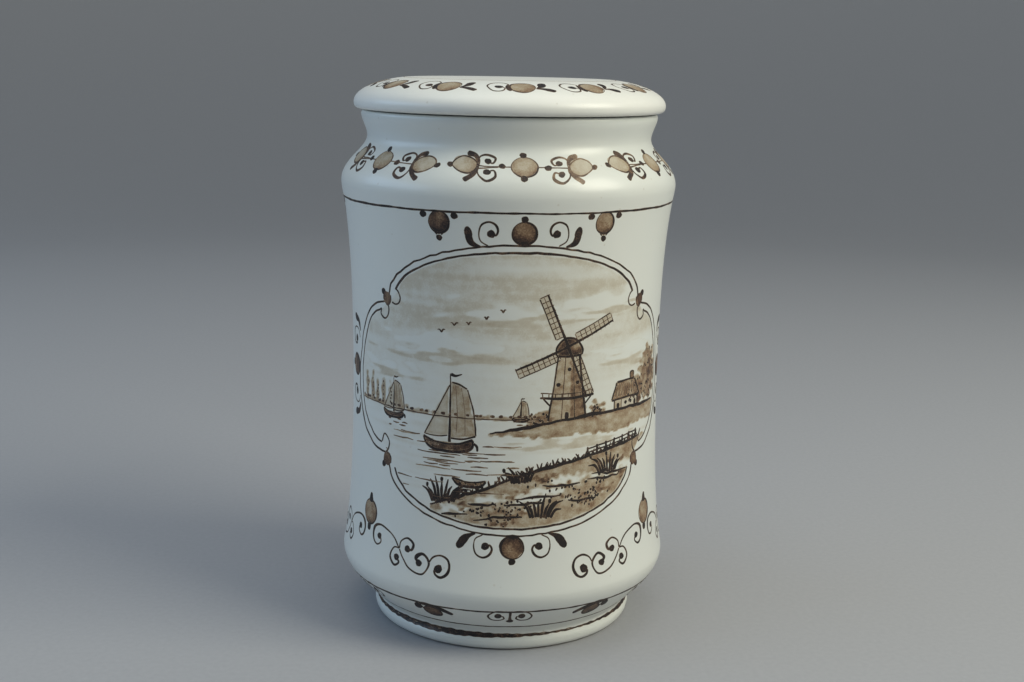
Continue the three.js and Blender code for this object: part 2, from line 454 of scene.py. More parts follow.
SEPIA_STRENGTHS = (
    (0.00, "#d9d7cb"),
    (0.12, "#c6bfae"),
    (0.30, "#a8977d"),
    (0.45, "#866b50"),
    (0.62, "#583f2d"),
    (0.80, "#2f1d15"),
    (1.00, "#140907"),
)
print("sepia steps from thin to thick:", len(SEPIA_STRENGTHS))

# %% White and sepia


def glaze_white(tree, place, cool_white, warm_white):
    """The white of the glaze, which drifts from cool to warm and holds a few specks of iron."""
    drift = add_node(tree, "TexNoise", {"Vector": place, "Scale": 1 / GLAZE_DRIFT, "Detail": 2.0})
    whites = {"Factor": drift, MIX_A: cool_white, MIX_B: warm_white}
    white = add_node(tree, "Mix", whites, data_type="RGBA")
    specks = add_node(tree, "TexVoronoi", {"Vector": place, "Scale": 1 / IRON_SPECK_SPACING})
    fade = {"Value": specks, "From Min": IRON_SPECK_CORE, "From Max": IRON_SPECK_EDGE}
    speck = add_node(tree, "MapRange", fade | {"To Min": IRON_SPECK_STRENGTH, "To Max": 0.0})
    return add_node(tree, "Mix", {"Factor": speck, MIX_A: white, MIX_B: "#b9ad98"}, data_type="RGBA")


def sepia_over(tree, white, pigment, grain, cloud):
    """The colour of the pigment at its strength, over the white where there is none."""
    gathered = add_node(tree, "Math", {0: grain, 1: cloud}, operation="ADD")
    even_out = {0: gathered, 1: GATHER_GAIN, 2: -GATHER_LOSS}
    strength = add_node(tree, "Math", even_out, operation="MULTIPLY_ADD")
    laid = add_node(tree, "Math", {0: pigment, 1: strength}, operation="MULTIPLY")
    sepia = add_node(tree, "ValToRGB", {"Fac": laid})
    stops = sepia.color_ramp.elements
    while len(stops) < len(SEPIA_STRENGTHS):
        stops.new(0.5)
    for stop, (position, colour) in zip(stops, SEPIA_STRENGTHS):
        stop.position = position
        stop.color = linear(colour)
    cover = add_node(tree, "MapRange", {"Value": laid, "From Min": 0.0, "From Max": PIGMENT_COVERS})
    return add_node(tree, "Mix", {"Factor": cover, MIX_A: white, MIX_B: sepia}, data_type="RGBA")


print("iron specks are about", round(IRON_SPECK_SPACING / MM, 1), "mm apart")

# %% Glaze materials


def glaze_material(name, cool_white, warm_white, roughness, bare_foot):
    """Opaque white glaze, with sepia wherever the mesh holds pigment."""
    material, tree = new_material(name)
    place = add_node(tree, "TexCoord").outputs["Object"]
    pigment = add_node(tree, "Attribute", attribute_name="pigment").outputs["Fac"]
    grain_size = {"Vector": place, "Scale": 1 / PIGMENT_GRAIN, "Detail": 4.0, "Roughness": 0.65}
    grain = add_node(tree, "TexNoise", grain_size)
    cloud = add_node(tree, "TexNoise", {"Vector": place, "Scale": 1 / PIGMENT_CLOUD, "Detail": 2.0})
    colour = sepia_over(tree, glaze_white(tree, place, cool_white, warm_white), pigment, grain, cloud)
    ripple_size = {"Vector": place, "Scale": 1 / GLAZE_RIPPLE, "Detail": 1.0, "Roughness": 0.4}
    ripple = add_node(tree, "TexNoise", ripple_size)
    relief = add_node(tree, "Bump", {"Height": ripple, "Strength": 0.35, "Distance": GLAZE_RIPPLE_DEPTH})
    shine = add_node(
        tree, "MapRange", {"Value": cloud, "To Min": roughness - 0.03, "To Max": roughness + 0.05}
    )
    rough = add_node(tree, "Math", {0: pigment, 1: PIGMENT_DULLS, 2: shine}, operation="MULTIPLY_ADD")
    if bare_foot:
        height = add_node(tree, "SeparateXYZ", {"Vector": place}).outputs["Z"]
        low, high = BARE_CLAY_HEIGHT
        fade = {"Value": height, "From Min": low, "From Max": high, "To Min": 1.0, "To Max": 0.0}
        bare = add_node(tree, "MapRange", fade)
        clay = add_node(
            tree, "Mix", {"Factor": grain, MIX_A: "#b79f7d", MIX_B: "#cdbb9c"}, data_type="RGBA"
        )
        colour = add_node(tree, "Mix", {"Factor": bare, MIX_A: colour, MIX_B: clay}, data_type="RGBA")
        duller = {0: bare, 1: BARE_CLAY_DULLS, 2: rough}
        rough = add_node(tree, "Math", duller, operation="MULTIPLY_ADD", use_clamp=True)
    skin = {"Base Color": colour, "Roughness": rough, "IOR": 1.5, "Normal": relief}
    skin |= {"Coat Weight": 0.16, "Coat Roughness": 0.18}
    add_node(tree, "OutputMaterial", {"Surface": add_node(tree, "BsdfPrincipled", skin)})
    return material


jar_glaze = glaze_material("white_tin_glaze_jar", "#dbe0dd", "#e2e2da", 0.35, bare_foot=True)
# The lid's whites are paler than the jar's: painted light, standing in for the brighter light that falls on
# the lid.
lid_glaze_painted_paler = glaze_material("white_tin_glaze_lid_painted_paler", "#e8eae6", "#edebe3", 0.38, bare_foot=False)
print("glaze nodes:", len(jar_glaze.node_tree.nodes))

# %% [markdown]
# ## Elastic ring
# The lid of a storage jar is kept tight by a clear-to-milky silicone ring in a groove of the
# flange. It is moulded, so it is matt and slightly cloudy, with a faint mould grain. Its two
# thin fins press against the neck. They are drawn just short of it, so that the lid lifts
# and turns freely.

# %% Silicone material
SILICONE_CLOUD = 6 * MM
SILICONE_GRAIN = 0.4 * MM
SILICONE_GRAIN_DEPTH = 0.02 * MM


def silicone_material():
    """Moulded milky silicone rubber."""
    material, tree = new_material("milky_silicone")
    place = add_node(tree, "TexCoord").outputs["Object"]
    cloud = add_node(tree, "TexNoise", {"Vector": place, "Scale": 1 / SILICONE_CLOUD, "Detail": 2.0})
    tone = add_node(tree, "Mix", {"Factor": cloud, MIX_A: "#c9c4b5", MIX_B: "#d9d6ca"}, data_type="RGBA")
    grain = add_node(tree, "TexNoise", {"Vector": place, "Scale": 1 / SILICONE_GRAIN, "Detail": 2.0})
    relief = add_node(tree, "Bump", {"Height": grain, "Strength": 0.3, "Distance": SILICONE_GRAIN_DEPTH})
    rubber = {"Base Color": tone, "Roughness": 0.55, "IOR": 1.41, "Normal": relief}
    add_node(tree, "OutputMaterial", {"Surface": add_node(tree, "BsdfPrincipled", rubber)})
    return material


silicone = silicone_material()
print("silicone nodes:", len(silicone.node_tree.nodes))

# %% Outline of the ring
RING_SEGMENTS = 180
RING_GAP = 0.3
RING_TIP_GAP = 0.35
FIN = 1.1
FIN_ROUNDING = 0.3
FIN_STEPS = 3
RING_SEAM = 0.001


def fin(base):
    """One wiping fin of the ring with a rounded edge, from its lower to its upper side."""
    tip = mouth - RING_TIP_GAP
    under = rounded((tip, base), (-FIN_ROUNDING, 0), (0, FIN_ROUNDING), FIN_STEPS)
    over = rounded((tip, base + FIN), (0, -FIN_ROUNDING), (-FIN_ROUNDING, 0), FIN_STEPS)
    return join(under, over)


ring_inner, ring_band = groove_bottom + RING_GAP, flange_outer + RING_GAP
ring_low, ring_high = groove_low + RING_GAP, groove_high - RING_GAP
ring_outline = join(
    (ring_inner, ring_low),
    fin(ring_low),
    [(ring_band, ring_low + FIN), (ring_band, ring_high - FIN)],
    fin(ring_high - FIN),
    (ring_inner, ring_high),
    (ring_inner, ring_low + RING_SEAM),
)
print("ring from radius", round(ring_inner, 2), "to", round(mouth - RING_TIP_GAP, 2), "mm")

# %% The three turned pieces
jar_skin = turned("jar_glazed_body", jar_outline, jar_glaze)
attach(jar_skin, "jar")
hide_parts("jar_body")

lid_skin = turned("lid_glazed_cover", lid_outline, lid_glaze_painted_paler)
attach(lid_skin, "lid_cover")
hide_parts("lid")

ring_skin = turned("lid_silicone_ring", ring_outline, silicone, RING_SEGMENTS)
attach(ring_skin, "seal")
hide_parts("lid_seal")
for piece in (jar_skin, lid_skin, ring_skin):
    print(piece.name, "faces:", len(piece.data.polygons))

# %% [markdown]
# ## The wall as a flat sheet
# The painter works on a round wall but thinks of it as a flat sheet wrapped round the jar.
# The lesson does the same: a place is a distance to the right of some meridian and a run up
# the outline, both in millimetres, and the sheet knows where that lies in space and which
# way is straight out. Runs start at the foot ring on the jar, and at the widest circle on
# the lid, where they lead up and in towards the middle.

# %% Unroll the walls


class Sheet:
    """The outside of a turned wall, unrolled, with the body it belongs to and its glaze."""

    def __init__(self, outline, body, glaze):
        self.body, self.glaze = body, glaze
        self.radius, self.height = outline.T
        self.run = np.r_[0, np.cumsum(np.hypot(np.diff(self.radius), np.diff(self.height)))]
        ahead_r, ahead_z = (np.gradient(column, self.run) for column in outline.T)
        size = np.hypot(ahead_r, ahead_z)
        self.out_r, self.out_z = ahead_z / size, -ahead_r / size

    def read(self, column, run):
        """A value of the wall at a run."""
        return np.interp(run, self.run, column)

    def run_at(self, height):
        """The run at a height."""
        return float(np.interp(height, self.height, self.run))

    def place(self, angle, run, lift):
        """Points lifted off the wall, and the directions straight out of it."""
        out_r, out_z = self.read(self.out_r, run), self.read(self.out_z, run)
        radius = self.read(self.radius, run) + lift * out_r
        height = self.read(self.height, run) + lift * out_z
        points = np.c_[radius * np.sin(angle), -radius * np.cos(angle), height]
        return points, np.c_[out_r * np.sin(angle), -out_r * np.cos(angle), out_z]


jar_sheet = Sheet(jar_wall_outline, "jar", jar_glaze)
lid_sheet = Sheet(join(lid_slope, (LID_MIDDLE_RADIUS, LID_TOP), (0.5, LID_TOP)), "lid_cover", lid_glaze_painted_paler)
print("run up the jar in mm:", round(jar_sheet.run[-1], 1), "over the lid:", round(lid_sheet.run[-1], 1))

# %% [markdown]
# ## Brush marks
# Sepia painting knows two marks. A loaded pointed brush draws a line that swells where it
# is pressed and closes round or pointed at its ends. A blot is a small filled shape: a bead
# is a blot of thick pigment, a berry one of thin pigment. Both are strips and rings of
# small faces, with the pigment fading to nothing over the outermost 0.16 mm, because
# pigment sinks into the melting glaze and leaves a soft edge. A seeded random hand gives
# every line a slight tremor, so that no two motifs are quite the same.

# %% Smooth paths and a hand that shakes
BRUSH_STEP = 0.35
FEWEST_STEPS = 6
TREMOR, TREMOR_PITCH = 0.07, 2.3
TINY, GUARD = 1e-9, 1e-12
hand = np.random.default_rng(1650)


def distances(path):
    """How far each place is along a path."""
    return np.r_[0, np.cumsum(np.hypot(*np.diff(path, axis=0).T))]


def through(points, closed=False):
    """A smooth path through the points, and each place's position among them."""
    points = np.asarray(points, float)
    if closed:
        points = np.vstack([points, points[:1]])
    gaps = np.sqrt(np.hypot(*np.diff(points, axis=0).T)) + TINY
    knots = np.r_[0, np.cumsum(gaps)]
    if closed:
        wrapped = np.vstack([points[-2], points, points[1]])
        slopes = np.gradient(wrapped, np.r_[-gaps[-1], knots, knots[-1] + gaps[0]], axis=0)[1:-1]
    else:
        slopes = np.gradient(points, knots, axis=0)
    steps = max(FEWEST_STEPS, int(1.1 * distances(points)[-1] / BRUSH_STEP))
    at = np.linspace(0, knots[-1], steps + 1)
    knot = np.clip(np.searchsorted(knots, at, side="right") - 1, 0, len(gaps) - 1)
    gap = gaps[knot][:, None]
    share = (at[:, None] - knots[knot][:, None]) / gap
    rest = 1 - share
    start = (1 + 2 * share) * rest**2 * points[knot] + share * rest**2 * gap * slopes[knot]
    end = share**2 * (3 - 2 * share) * points[knot + 1] - share**2 * rest * gap * slopes[knot + 1]
    return start + end, knot + share[:, 0]


def tremor(along, size=TREMOR):
    """Slow random shifts along a path."""
    knots = np.arange(0, along[-1] + 2 * TREMOR_PITCH, TREMOR_PITCH)
    return np.interp(along, knots, hand.normal(0, size, len(knots)))


def ripple(turn, orders):
    """A wave round a full turn, of about unit height, that closes on itself."""
    waves = [np.sin(order * turn + hand.uniform(0, FULL_TURN)) for order in orders]
    return sum(waves) / math.sqrt(len(waves))


def spread(values, at):
    """Values set at even steps, read where the path needs them."""
    values = np.atleast_1d(values)
    return np.interp(at, np.linspace(0, at[-1], len(values)), values)


print("a curve through three places has", len(through([(0, 0), (2, 2), (4, 0)])[0]), "steps")

# %% Lines and blots
WIDTH_TREMOR, LOAD_TREMOR = 1.3, 0.8
ROUND_END = 0.1
BLOT_POINTS_PER_MM, FEWEST_BLOT_POINTS, MOST_BLOT_POINTS = 4, 12, 32

Line = namedtuple("Line", "path width pigment layer")
Blot = namedtuple("Blot", "rim middle edge core lean layer")


def line(points, widths=0.5, pigment=0.86, closed=False, layer="ink", shake=TREMOR):
    """One brush line; the widths are spread along it, and open ends are rounded off."""
    path, at = through(points, closed)
    along = distances(path)
    slack = np.clip(np.minimum(along, along[-1] - along), 0, 1)[:, None]
    path = path + slack * np.c_[tremor(along, shake), tremor(along, shake)]
    width = spread(widths, at) * (1 + WIDTH_TREMOR * tremor(along))
    if not closed:
        for reach in (along, along[-1] - along):
            short = 1 - np.minimum(1, reach / np.maximum(width / 2, ROUND_END))
            width = width * np.sqrt(np.maximum(0, 1 - short**2))
    return [Line(path, width, spread(pigment, at) * (1 + LOAD_TREMOR * tremor(along)), layer)]


def turning(degrees):
    """Turns pairs to the left."""
    angle = math.radians(degrees)
    return np.array([[math.cos(angle), math.sin(angle)], [-math.sin(angle), math.cos(angle)]])


def blot(x, y, wide, high, core, edge=None, turn=0.0, lumps=0.05, lean=(0, 0), layer="wash"):
    """One filled shape, as half width and half height; it gets darker towards its lean."""
    count = int(np.clip(BLOT_POINTS_PER_MM * (wide + high), FEWEST_BLOT_POINTS, MOST_BLOT_POINTS))
    around = np.linspace(0, FULL_TURN, count, endpoint=False)
    swing = 1 + lumps * ripple(around, (2, 3, 5))
    flat = np.c_[wide * swing * np.cos(around), high * swing * np.sin(around)]
    edge = core if edge is None else edge
    return [Blot(flat @ turning(turn) + (x, y), np.array([x, y], float), edge, core, np.array(lean), layer)]


print("a line holds", Line._fields, "and a blot", Blot._fields)

# %% Marks used again


def loaded(marks, share):
    """The same marks from a brush that holds more or less pigment."""
    made = []
    for mark in marks:
        if isinstance(mark, Line):
            made.append(mark._replace(pigment=mark.pigment * share))
        else:
            made.append(mark._replace(edge=mark.edge * share, core=mark.core * share))
    return made


def put(marks, x=0.0, y=0.0, turn=0.0, mirror=False):
    """Marks mirrored left to right, turned by degrees and moved, in that order."""
    spin = np.diag([-1 if mirror else 1, 1]) @ turning(turn)
    moved = []
    for mark in marks:
        if isinstance(mark, Line):
            moved.append(mark._replace(path=mark.path @ spin + (x, y)))
        else:
            rim, middle = mark.rim @ spin + (x, y), mark.middle @ spin + (x, y)
            moved.append(mark._replace(rim=rim, middle=middle, lean=mark.lean @ spin))
    return moved


print("right, turned by 90 degrees, points to", (np.array([1, 0]) @ turning(90)).round())

# %% [markdown]
# ## From marks to thin skins
# Paint could be a texture, but a texture made of nodes for dozens of curls would be hard to
# read and harder to change. Each mark becomes a tiny mesh that hugs the wall instead. The
# washes lie 0.02 mm off the wall and the ink just above them, about what a fired line
# really stands proud. Their normals are the wall's own, so where the pigment is nil the
# skin shines exactly as the wall beside it and can't be seen. The faded outer edge of each
# mark dips down to the wall, and so it disappears under any other mark that it crosses.
#
# A band round the jar is long and low. Its flat map is cut into rows that are stacked in a
# square, so that a baked picture of it keeps the fine lines.

# %% Mesh one mark
SOFT_EDGE = 0.16
LINE_RISE = (0.0, 1.0, 1.0, 0.0)
BLOT_RINGS = (1.0, 0.86, 0.62, 0.34, 0.1)
THIN_LINE = 0.15
SOLID_SHARE = 0.35


def line_mesh(mark):
    """Sheet places, pigment, share of the lift and faces of one line, four places across."""
    ahead = np.gradient(mark.path, axis=0)
    ahead /= np.linalg.norm(ahead, axis=1)[:, None] + GUARD
    left = np.c_[-ahead[:, 1], ahead[:, 0]]
    half = mark.width / 2
    inner = np.maximum(half - SOFT_EDGE / 2, SOLID_SHARE * half)
    outer = half + SOFT_EDGE / 2
    across = np.c_[-outer, -inner, inner, outer]
    places = mark.path[:, None, :] + left[:, None, :] * across[:, :, None]
    strength = np.clip(mark.pigment * np.minimum(1, mark.width / THIN_LINE), 0, 1)
    first = (4 * np.arange(len(half) - 1)[:, None] + np.arange(3)).ravel()
    faces = np.c_[first, first + 4, first + 5, first + 1]
    rise = np.tile(LINE_RISE, len(half))
    return places.reshape(-1, 2), np.outer(strength, LINE_RISE).ravel(), rise, faces.tolist()


def blot_mesh(mark):
    """Sheet places, pigment, share of the lift and faces of one blot, as rings round its middle."""
    spokes = mark.rim - mark.middle
    reach = np.linalg.norm(spokes, axis=1)[:, None]
    area = np.sum(spokes[:, 0] * np.roll(spokes[:, 1], -1) - spokes[:, 1] * np.roll(spokes[:, 0], -1))
    if area < 0:
        spokes, reach = spokes[::-1], reach[::-1]
    rings, pigment = [spokes * (1 + SOFT_EDGE / reach)], [np.zeros(len(spokes))]
    for share in BLOT_RINGS:
        ring = spokes * share
        tint = mark.core + (mark.edge - mark.core) * share**3 + ring @ mark.lean / reach.max()
        rings.append(ring)
        pigment.append(np.clip(tint, 0, 1))
    count = len(spokes)
    here = np.arange(count * len(BLOT_RINGS))
    there = here - here % count + (here + 1) % count
    faces = np.c_[here, there, there + count, here + count].tolist()
    faces.append(list(range(count * len(BLOT_RINGS), count * len(rings))))
    rise = np.repeat([0.0] + [1.0] * len(BLOT_RINGS), count)
    return np.vstack(rings) + mark.middle, np.concatenate(pigment), rise, faces


print("places across a line:", len(LINE_RISE), "and rings in a blot:", 1 + len(BLOT_RINGS))

# %% Lay marks on a wall
LAYER_LIFT = {"wash": 0.020, "ink": 0.036}
EDGE_LIFT = 0.003
MAP_MARGIN = 0.02


def skin(name, sheet, angles, runs, lift, pigment, faces, rows):
    """A piece that hugs the wall; rows holds each point's row of the map, its middle and their count."""
    body = sheet.body
    points, out = sheet.place(angles, runs, lift)
    row, row_middle, row_count = rows
    local = angles - row_middle
    u = 0.5 + (0.5 - MAP_MARGIN / 2) * local / np.abs(local).max()
    v = (row + MAP_MARGIN + (1 - 2 * MAP_MARGIN) * (runs - runs.min()) / np.ptp(runs)) / row_count
    corners = [corner for face in faces for corner in face]
    piece = new_piece(name, points, faces, sheet.glaze, np.c_[u, v][corners], pigment)
    piece.data.normals_split_custom_set_from_vertices(out.tolist())
    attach(piece, body)
    print(name, "faces:", len(faces))


def paint(name, placed, sheet, rows=1):
    """Lays marks, each list with the angle of its meridian, as a wash skin and an ink skin."""
    angles = [math.radians(angle) for angle, marks in placed]
    first, span = min(angles), max(angles) - min(angles) + SAME_POINT
    for layer, lift in LAYER_LIFT.items():
        columns, faces, count = [], [], 0
        for angle, (_, marks) in zip(angles, placed):
            row = int((angle - first) / span * rows)
            row_middle = first + (row + 0.5) * span / rows
            for mark in marks:
                if mark.layer != layer:
                    continue
                places, pigment, rise, own_faces = (line_mesh if isinstance(mark, Line) else blot_mesh)(mark)
                turned_by = angle + places[:, 0] / sheet.read(sheet.radius, places[:, 1])
                same = np.ones(len(places))
                columns.append(np.c_[turned_by, places[:, 1], pigment, rise, same * row, same * row_middle])
                faces += [[corner + count for corner in face] for face in own_faces]
                count += len(places)
        if count:
            turned_by, runs, pigment, rise, row, row_middle = np.vstack(columns).T
            lifts = EDGE_LIFT + (lift - EDGE_LIFT) * rise
            skin(f"{name}_{layer}", sheet, turned_by, runs, lifts, pigment, faces, (row, row_middle, rows))


print("washes lie", LAYER_LIFT["wash"], "mm and ink", LAYER_LIFT["ink"], "mm off the wall")

# %% [markdown]
# ## The painter's stock of motifs
# Work of this kind is built from a few signs that every painter in the shop could draw
# without looking: the bead, the comma leaf, the curl that ends in a bead, and the berry, a
# round of thin wash with a darker brushed edge. Each is a function here, and takes its
# sizes in millimetres, measured on the object.

# %% Bead, leaf, curl and berry
LEAF_SWELL = np.array([0.22, 0.5, 0.85, 1.05, 0.85])
EDGE_POINTS = 12


def bead(x, y, radius, pigment=0.97):
    """A dab of thick pigment."""
    return blot(x, y, radius, radius * 0.94, pigment, lumps=0.09, layer="ink")


def leaf(root, bend_point, tip, width, pigment=0.93):
    """A comma: thin at its root, full and round at its tip."""
    stem = line([root, bend_point, tip], width * LEAF_SWELL, pigment, shake=0.04)
    along = np.subtract(tip, bend_point)
    x, y = np.subtract(tip, 0.3 * along)
    long_half = 0.3 * math.hypot(*along) + 0.32 * width
    turn = math.degrees(math.atan2(along[1], along[0]))
    return stem + blot(x, y, long_half, 0.5 * width, pigment, turn=turn, lumps=0.03, layer="ink")


def curl(points, bead_radius=1.1, widths=(0.45, 0.55, 0.95, 0.6, 0.5), pigment=0.93):
    """A line that swells at its crown and closes on a bead, its last point."""
    return line(points, widths, pigment, shake=0.05) + bead(*points[-1], bead_radius)


def edge_line(x, y, wide, high, width=0.5, dark_side=-50, pigment=0.92):
    """The brushed edge of a berry, heavier on one side."""
    around = np.linspace(0, FULL_TURN, EDGE_POINTS, endpoint=False)
    points = np.c_[x + wide * np.cos(around), y + high * np.sin(around)]
    weights = width * (0.85 + 0.45 * np.cos(np.append(around, 0) - math.radians(dark_side)))
    return line(points, weights, pigment, closed=True, shake=0.05)


def berry(x, y, wide, high, fill=0.42, width=0.5, dark_side=-50, lean=(0.04, -0.12), pigment=0.92):
    """A round of thin wash inside its brushed edge, with the light on its upper left."""
    wash = blot(x, y, wide - 0.1, high - 0.1, fill, fill + 0.14, lean=lean)
    return wash + edge_line(x, y, wide, high, width, dark_side, pigment)


print("a berry has", len(berry(0, 0, 4, 4)), "marks")

# %% [markdown]
# ## Lines run on the wheel
# The thin hoops under the shoulder and round the foot are drawn by holding a brush still
# while the jar turns. They close on themselves and waver a little. The broad brown band
# just above the foot ring is the same, with a nearly dry brush: its hairs part, so the band
# is several lines side by side that grow fat and thin.

# %% Hoops
HOOP_PARTS, PART_STEPS = 12, 60
BAND_SWELL, BAND_SWELLS, BAND_FAT_AT = 0.45, 3, 148


def full_turn():
    """Angles round the jar, from the middle of the back."""
    return np.linspace(0, FULL_TURN, PART_STEPS * HOOP_PARTS + 1)


def hoop(sheet, run, width, pigment=0.86, waver=0.1, orders=(2, 5, 9, 23)):
    """A full circle as lines end to end, each with the angle of its meridian."""
    turn = full_turn()
    runs = run + waver * ripple(turn, orders)
    widths = width * (1 + 0.16 * ripple(turn, (3, 7, 31)) + 0.1 * ripple(turn, (57, 83)))
    load = pigment * (1 + 0.05 * ripple(turn, (4, 13, 37)))
    placed = []
    for start in range(0, PART_STEPS * HOOP_PARTS, PART_STEPS):
        cut = slice(start, start + PART_STEPS + 1)
        middle = turn[start + PART_STEPS // 2]
        x = (turn[cut] - middle) * sheet.read(sheet.radius, runs[cut])
        mark = Line(np.c_[x, runs[cut]], widths[cut], load[cut], "ink")
        placed.append((math.degrees(middle) - 180, [mark]))
    return placed


def dry_band(sheet, run, width, hairs):
    """A band of a nearly dry brush: hairs that part and meet, and grow fat as it is loaded again."""
    fat = width * (1 + BAND_SWELL * np.cos(BAND_SWELLS * (full_turn() - math.radians(BAND_FAT_AT))))
    placed = []
    for hair in np.linspace(-0.5, 0.5, hairs):
        weight = fat / hairs * hand.uniform(1.9, 2.5)
        tone = hand.uniform(0.90, 0.99) - 0.16 * abs(hair)
        placed += hoop(sheet, run + fat * hair, weight, tone, 0.14, (2, 29, 61, 89))
    return placed


print("places in a hoop:", len(full_turn()))

# %% [markdown]
# ## Crest, pendant and garland
# The crest sits on the middle of each side of the picture frame: a berry between two curls
# and two comma leaves. Pendants hang from the shoulder line between the crests. The garlands
# fill the corners under the frame: two arms of curls that rise to a pointed berry.

# %% Crest and pendant


def crest(curl_at, wide=4.0, high=3.7, leaf_tip=(7.2, 1.1)):
    """Stands on a line 4.1 mm below its berry's middle."""
    marks = berry(0, 0, wide, high, 0.57, 0.8, -40, (0.0, -0.2))
    marks += bead(0.05, high + 0.9, 1.15) + blot(-0.1, 0.3 - high, 1.5, 0.85, 0.9, layer="ink")
    path = [(-0.1, -4.4), (2.6, -2.8), (3.2, -0.2), (2.3, 2.6), (0, 3.65), (-2.2, 2.7), (-3.0, 0.8)]
    path += [(-2.3, -0.7), (-0.8, -0.3)]
    side = curl([(curl_at + x, y) for x, y in path], 1.3, (0.36, 0.4, 0.45, 0.6, 0.78, 0.68, 0.55))
    tip_x, tip_y = leaf_tip
    side += leaf((curl_at + 2.4, -4.8), (curl_at + 5.8, -3.2), (curl_at + tip_x, tip_y), 2.5)
    return marks + side + put(side, mirror=True)


def pendant():
    """Hangs by its upper edge from the shoulder line, 3.6 mm above its middle."""
    marks = berry(0, 0, 3.6, 3.65, 0.42, 0.65, -30, (0.05, -0.16))
    marks += blot(0, -3.2, 1.1, 0.9, 0.72, 0.62)
    for side in (-1, 1):
        marks += bead(5.6 * side, 2.3, 1.15)
        marks += line([(side * 1.7, -3.35), (side * 0.7, -4.4)], 0.45)
    return marks + bead(0, -5.3, 1.0)


# %% Garland
GARLAND_CURLS = (
    (
        [(17.3, -9.2), (14.6, -5.8), (11.2, -3.9), (6.8, -3.0), (3.8, -4.2), (3.1, -7.2), (4.1, -9.6)]
        + [(5.9, -10.3), (7.8, -8.9), (7.5, -7.6), (6.7, -7.1)],
        1.1,
        (0.5, 0.55, 0.65, 1.3, 0.75, 0.6, 0.6, 0.6),
    ),
    (
        [(17.3, -9.0), (17.8, -6.3), (20.8, -4.6), (23.2, -6.3), (22.6, -8.3), (20.9, -8.4)],
        1.2,
        (0.45, 0.6, 1.0, 0.6),
    ),
    (
        [(17.3, -8.9), (14.9, -9.2), (13.4, -12.7), (15.9, -15.2), (17.7, -13.8), (16.4, -12.3)],
        1.15,
        (0.45, 0.6, 0.8, 0.6),
    ),
    (
        [(17.3, -9.0), (19.1, -11.8), (22.6, -15.0), (28.2, -15.9), (30.2, -11.8), (27.4, -8.8)]
        + [(24.9, -10.7), (26.2, -12.3)],
        1.2,
        (0.5, 0.5, 0.6, 0.65, 0.75, 1.4, 0.85),
    ),
)
LONG_ARM_CURL = (
    [(30.2, -11.5), (31.5, -9.3), (34.2, -8.3), (36.9, -9.4), (38.0, -12.1), (37.1, -14.8)]
    + [(35.0, -15.9), (33.1, -15.1), (32.6, -13.8), (33.9, -13.1)],
    1.5,
    (0.5, 0.65, 1.0, 0.75, 0.6),
)


def garland_arm(is_long):
    """An arm of curls to the right of its berry; a long one has a curl more."""
    marks = []
    for points, bead_radius, widths in GARLAND_CURLS + (LONG_ARM_CURL,) * is_long:
        marks += curl(points, bead_radius, widths)
    return marks


def garland(long_arm):
    """A pointed berry over two arms; the longer one reaches to the left, -1, or right, 1."""
    marks = berry(0, 0, 3.95, 4.4, 0.38, 0.6, 0, (0.02, -0.1), 0.9)
    marks += line([(0.2, 3.3), (0.2, 5.2), (0.3, 7.2)], (2.8, 2.9, 2.0, 0.8), 0.93)
    marks += line([(-0.2, -4.0), (-0.3, -7.0)], (2.2, 2.2, 1.9), 0.92)
    return marks + garland_arm(long_arm > 0) + put(garland_arm(long_arm < 0), mirror=True)


print("curls in a short arm:", len(GARLAND_CURLS), "and in a long one:", len(GARLAND_CURLS) + 1)

# %% [markdown]
# ## The band on the neck
# Six groups stand round the sloping shoulder: a berry with a bead above and below, and a
# winged berry on a thin stem at either hand. This band was painted with more water, so its
# berries are paler and their edges brown rather than black.

# %% Neck band
NECK_BAND_HEIGHT = 170.7
NECK_BAND_ANGLES = (1.4, -54.0, 58.4, -118.0, 120.0, 181.0)


def winged_berry():
    """The left-hand one: two leaves hug its right side, where its stem and curls are."""
    marks = blot(0, 0, 4.1, 3.4, 0.21, 0.32, lean=(0.07, -0.06))
    edge = [(-4.3, -0.1), (-2.6, 2.3), (0.3, 3.4), (3.2, 2.2), (4.3, 0), (3.2, -2.4), (0.3, -3.5)]
    edge += [(-2.6, -2.3)]
    marks += line(edge, (0.45, 0.5, 0.55, 0.65, 0.75, 0.65, 0.55, 0.5), 0.76, closed=True)
    marks += bead(-5.0, -0.2, 1.05, 0.86)
    marks += line([(4.5, -0.6), (4.5, 1.9), (3.6, 3.7), (1.0, 4.6)], (0.9, 1.3, 1.9, 1.9), 0.77)
    marks += line([(4.5, 0.5), (4.1, -1.7), (2.6, -3.9), (-0.8, -6.3)], (0.9, 1.3, 1.7, 1.7), 0.76)
    marks += curl([(4.6, 0.6), (5.2, 3.2), (7.6, 4.0), (10.3, 2.7), (9.3, 0.7), (7.8, 1.5)], 1.1, pigment=0.8)
    lower = [(4.0, -1.2), (4.5, -4.3), (6.9, -6.2), (9.9, -4.6), (9.5, -2.2), (7.2, -2.9)]
    return marks + curl(lower, 1.15, (0.45, 0.6, 1.05, 0.75, 0.5), 0.82)


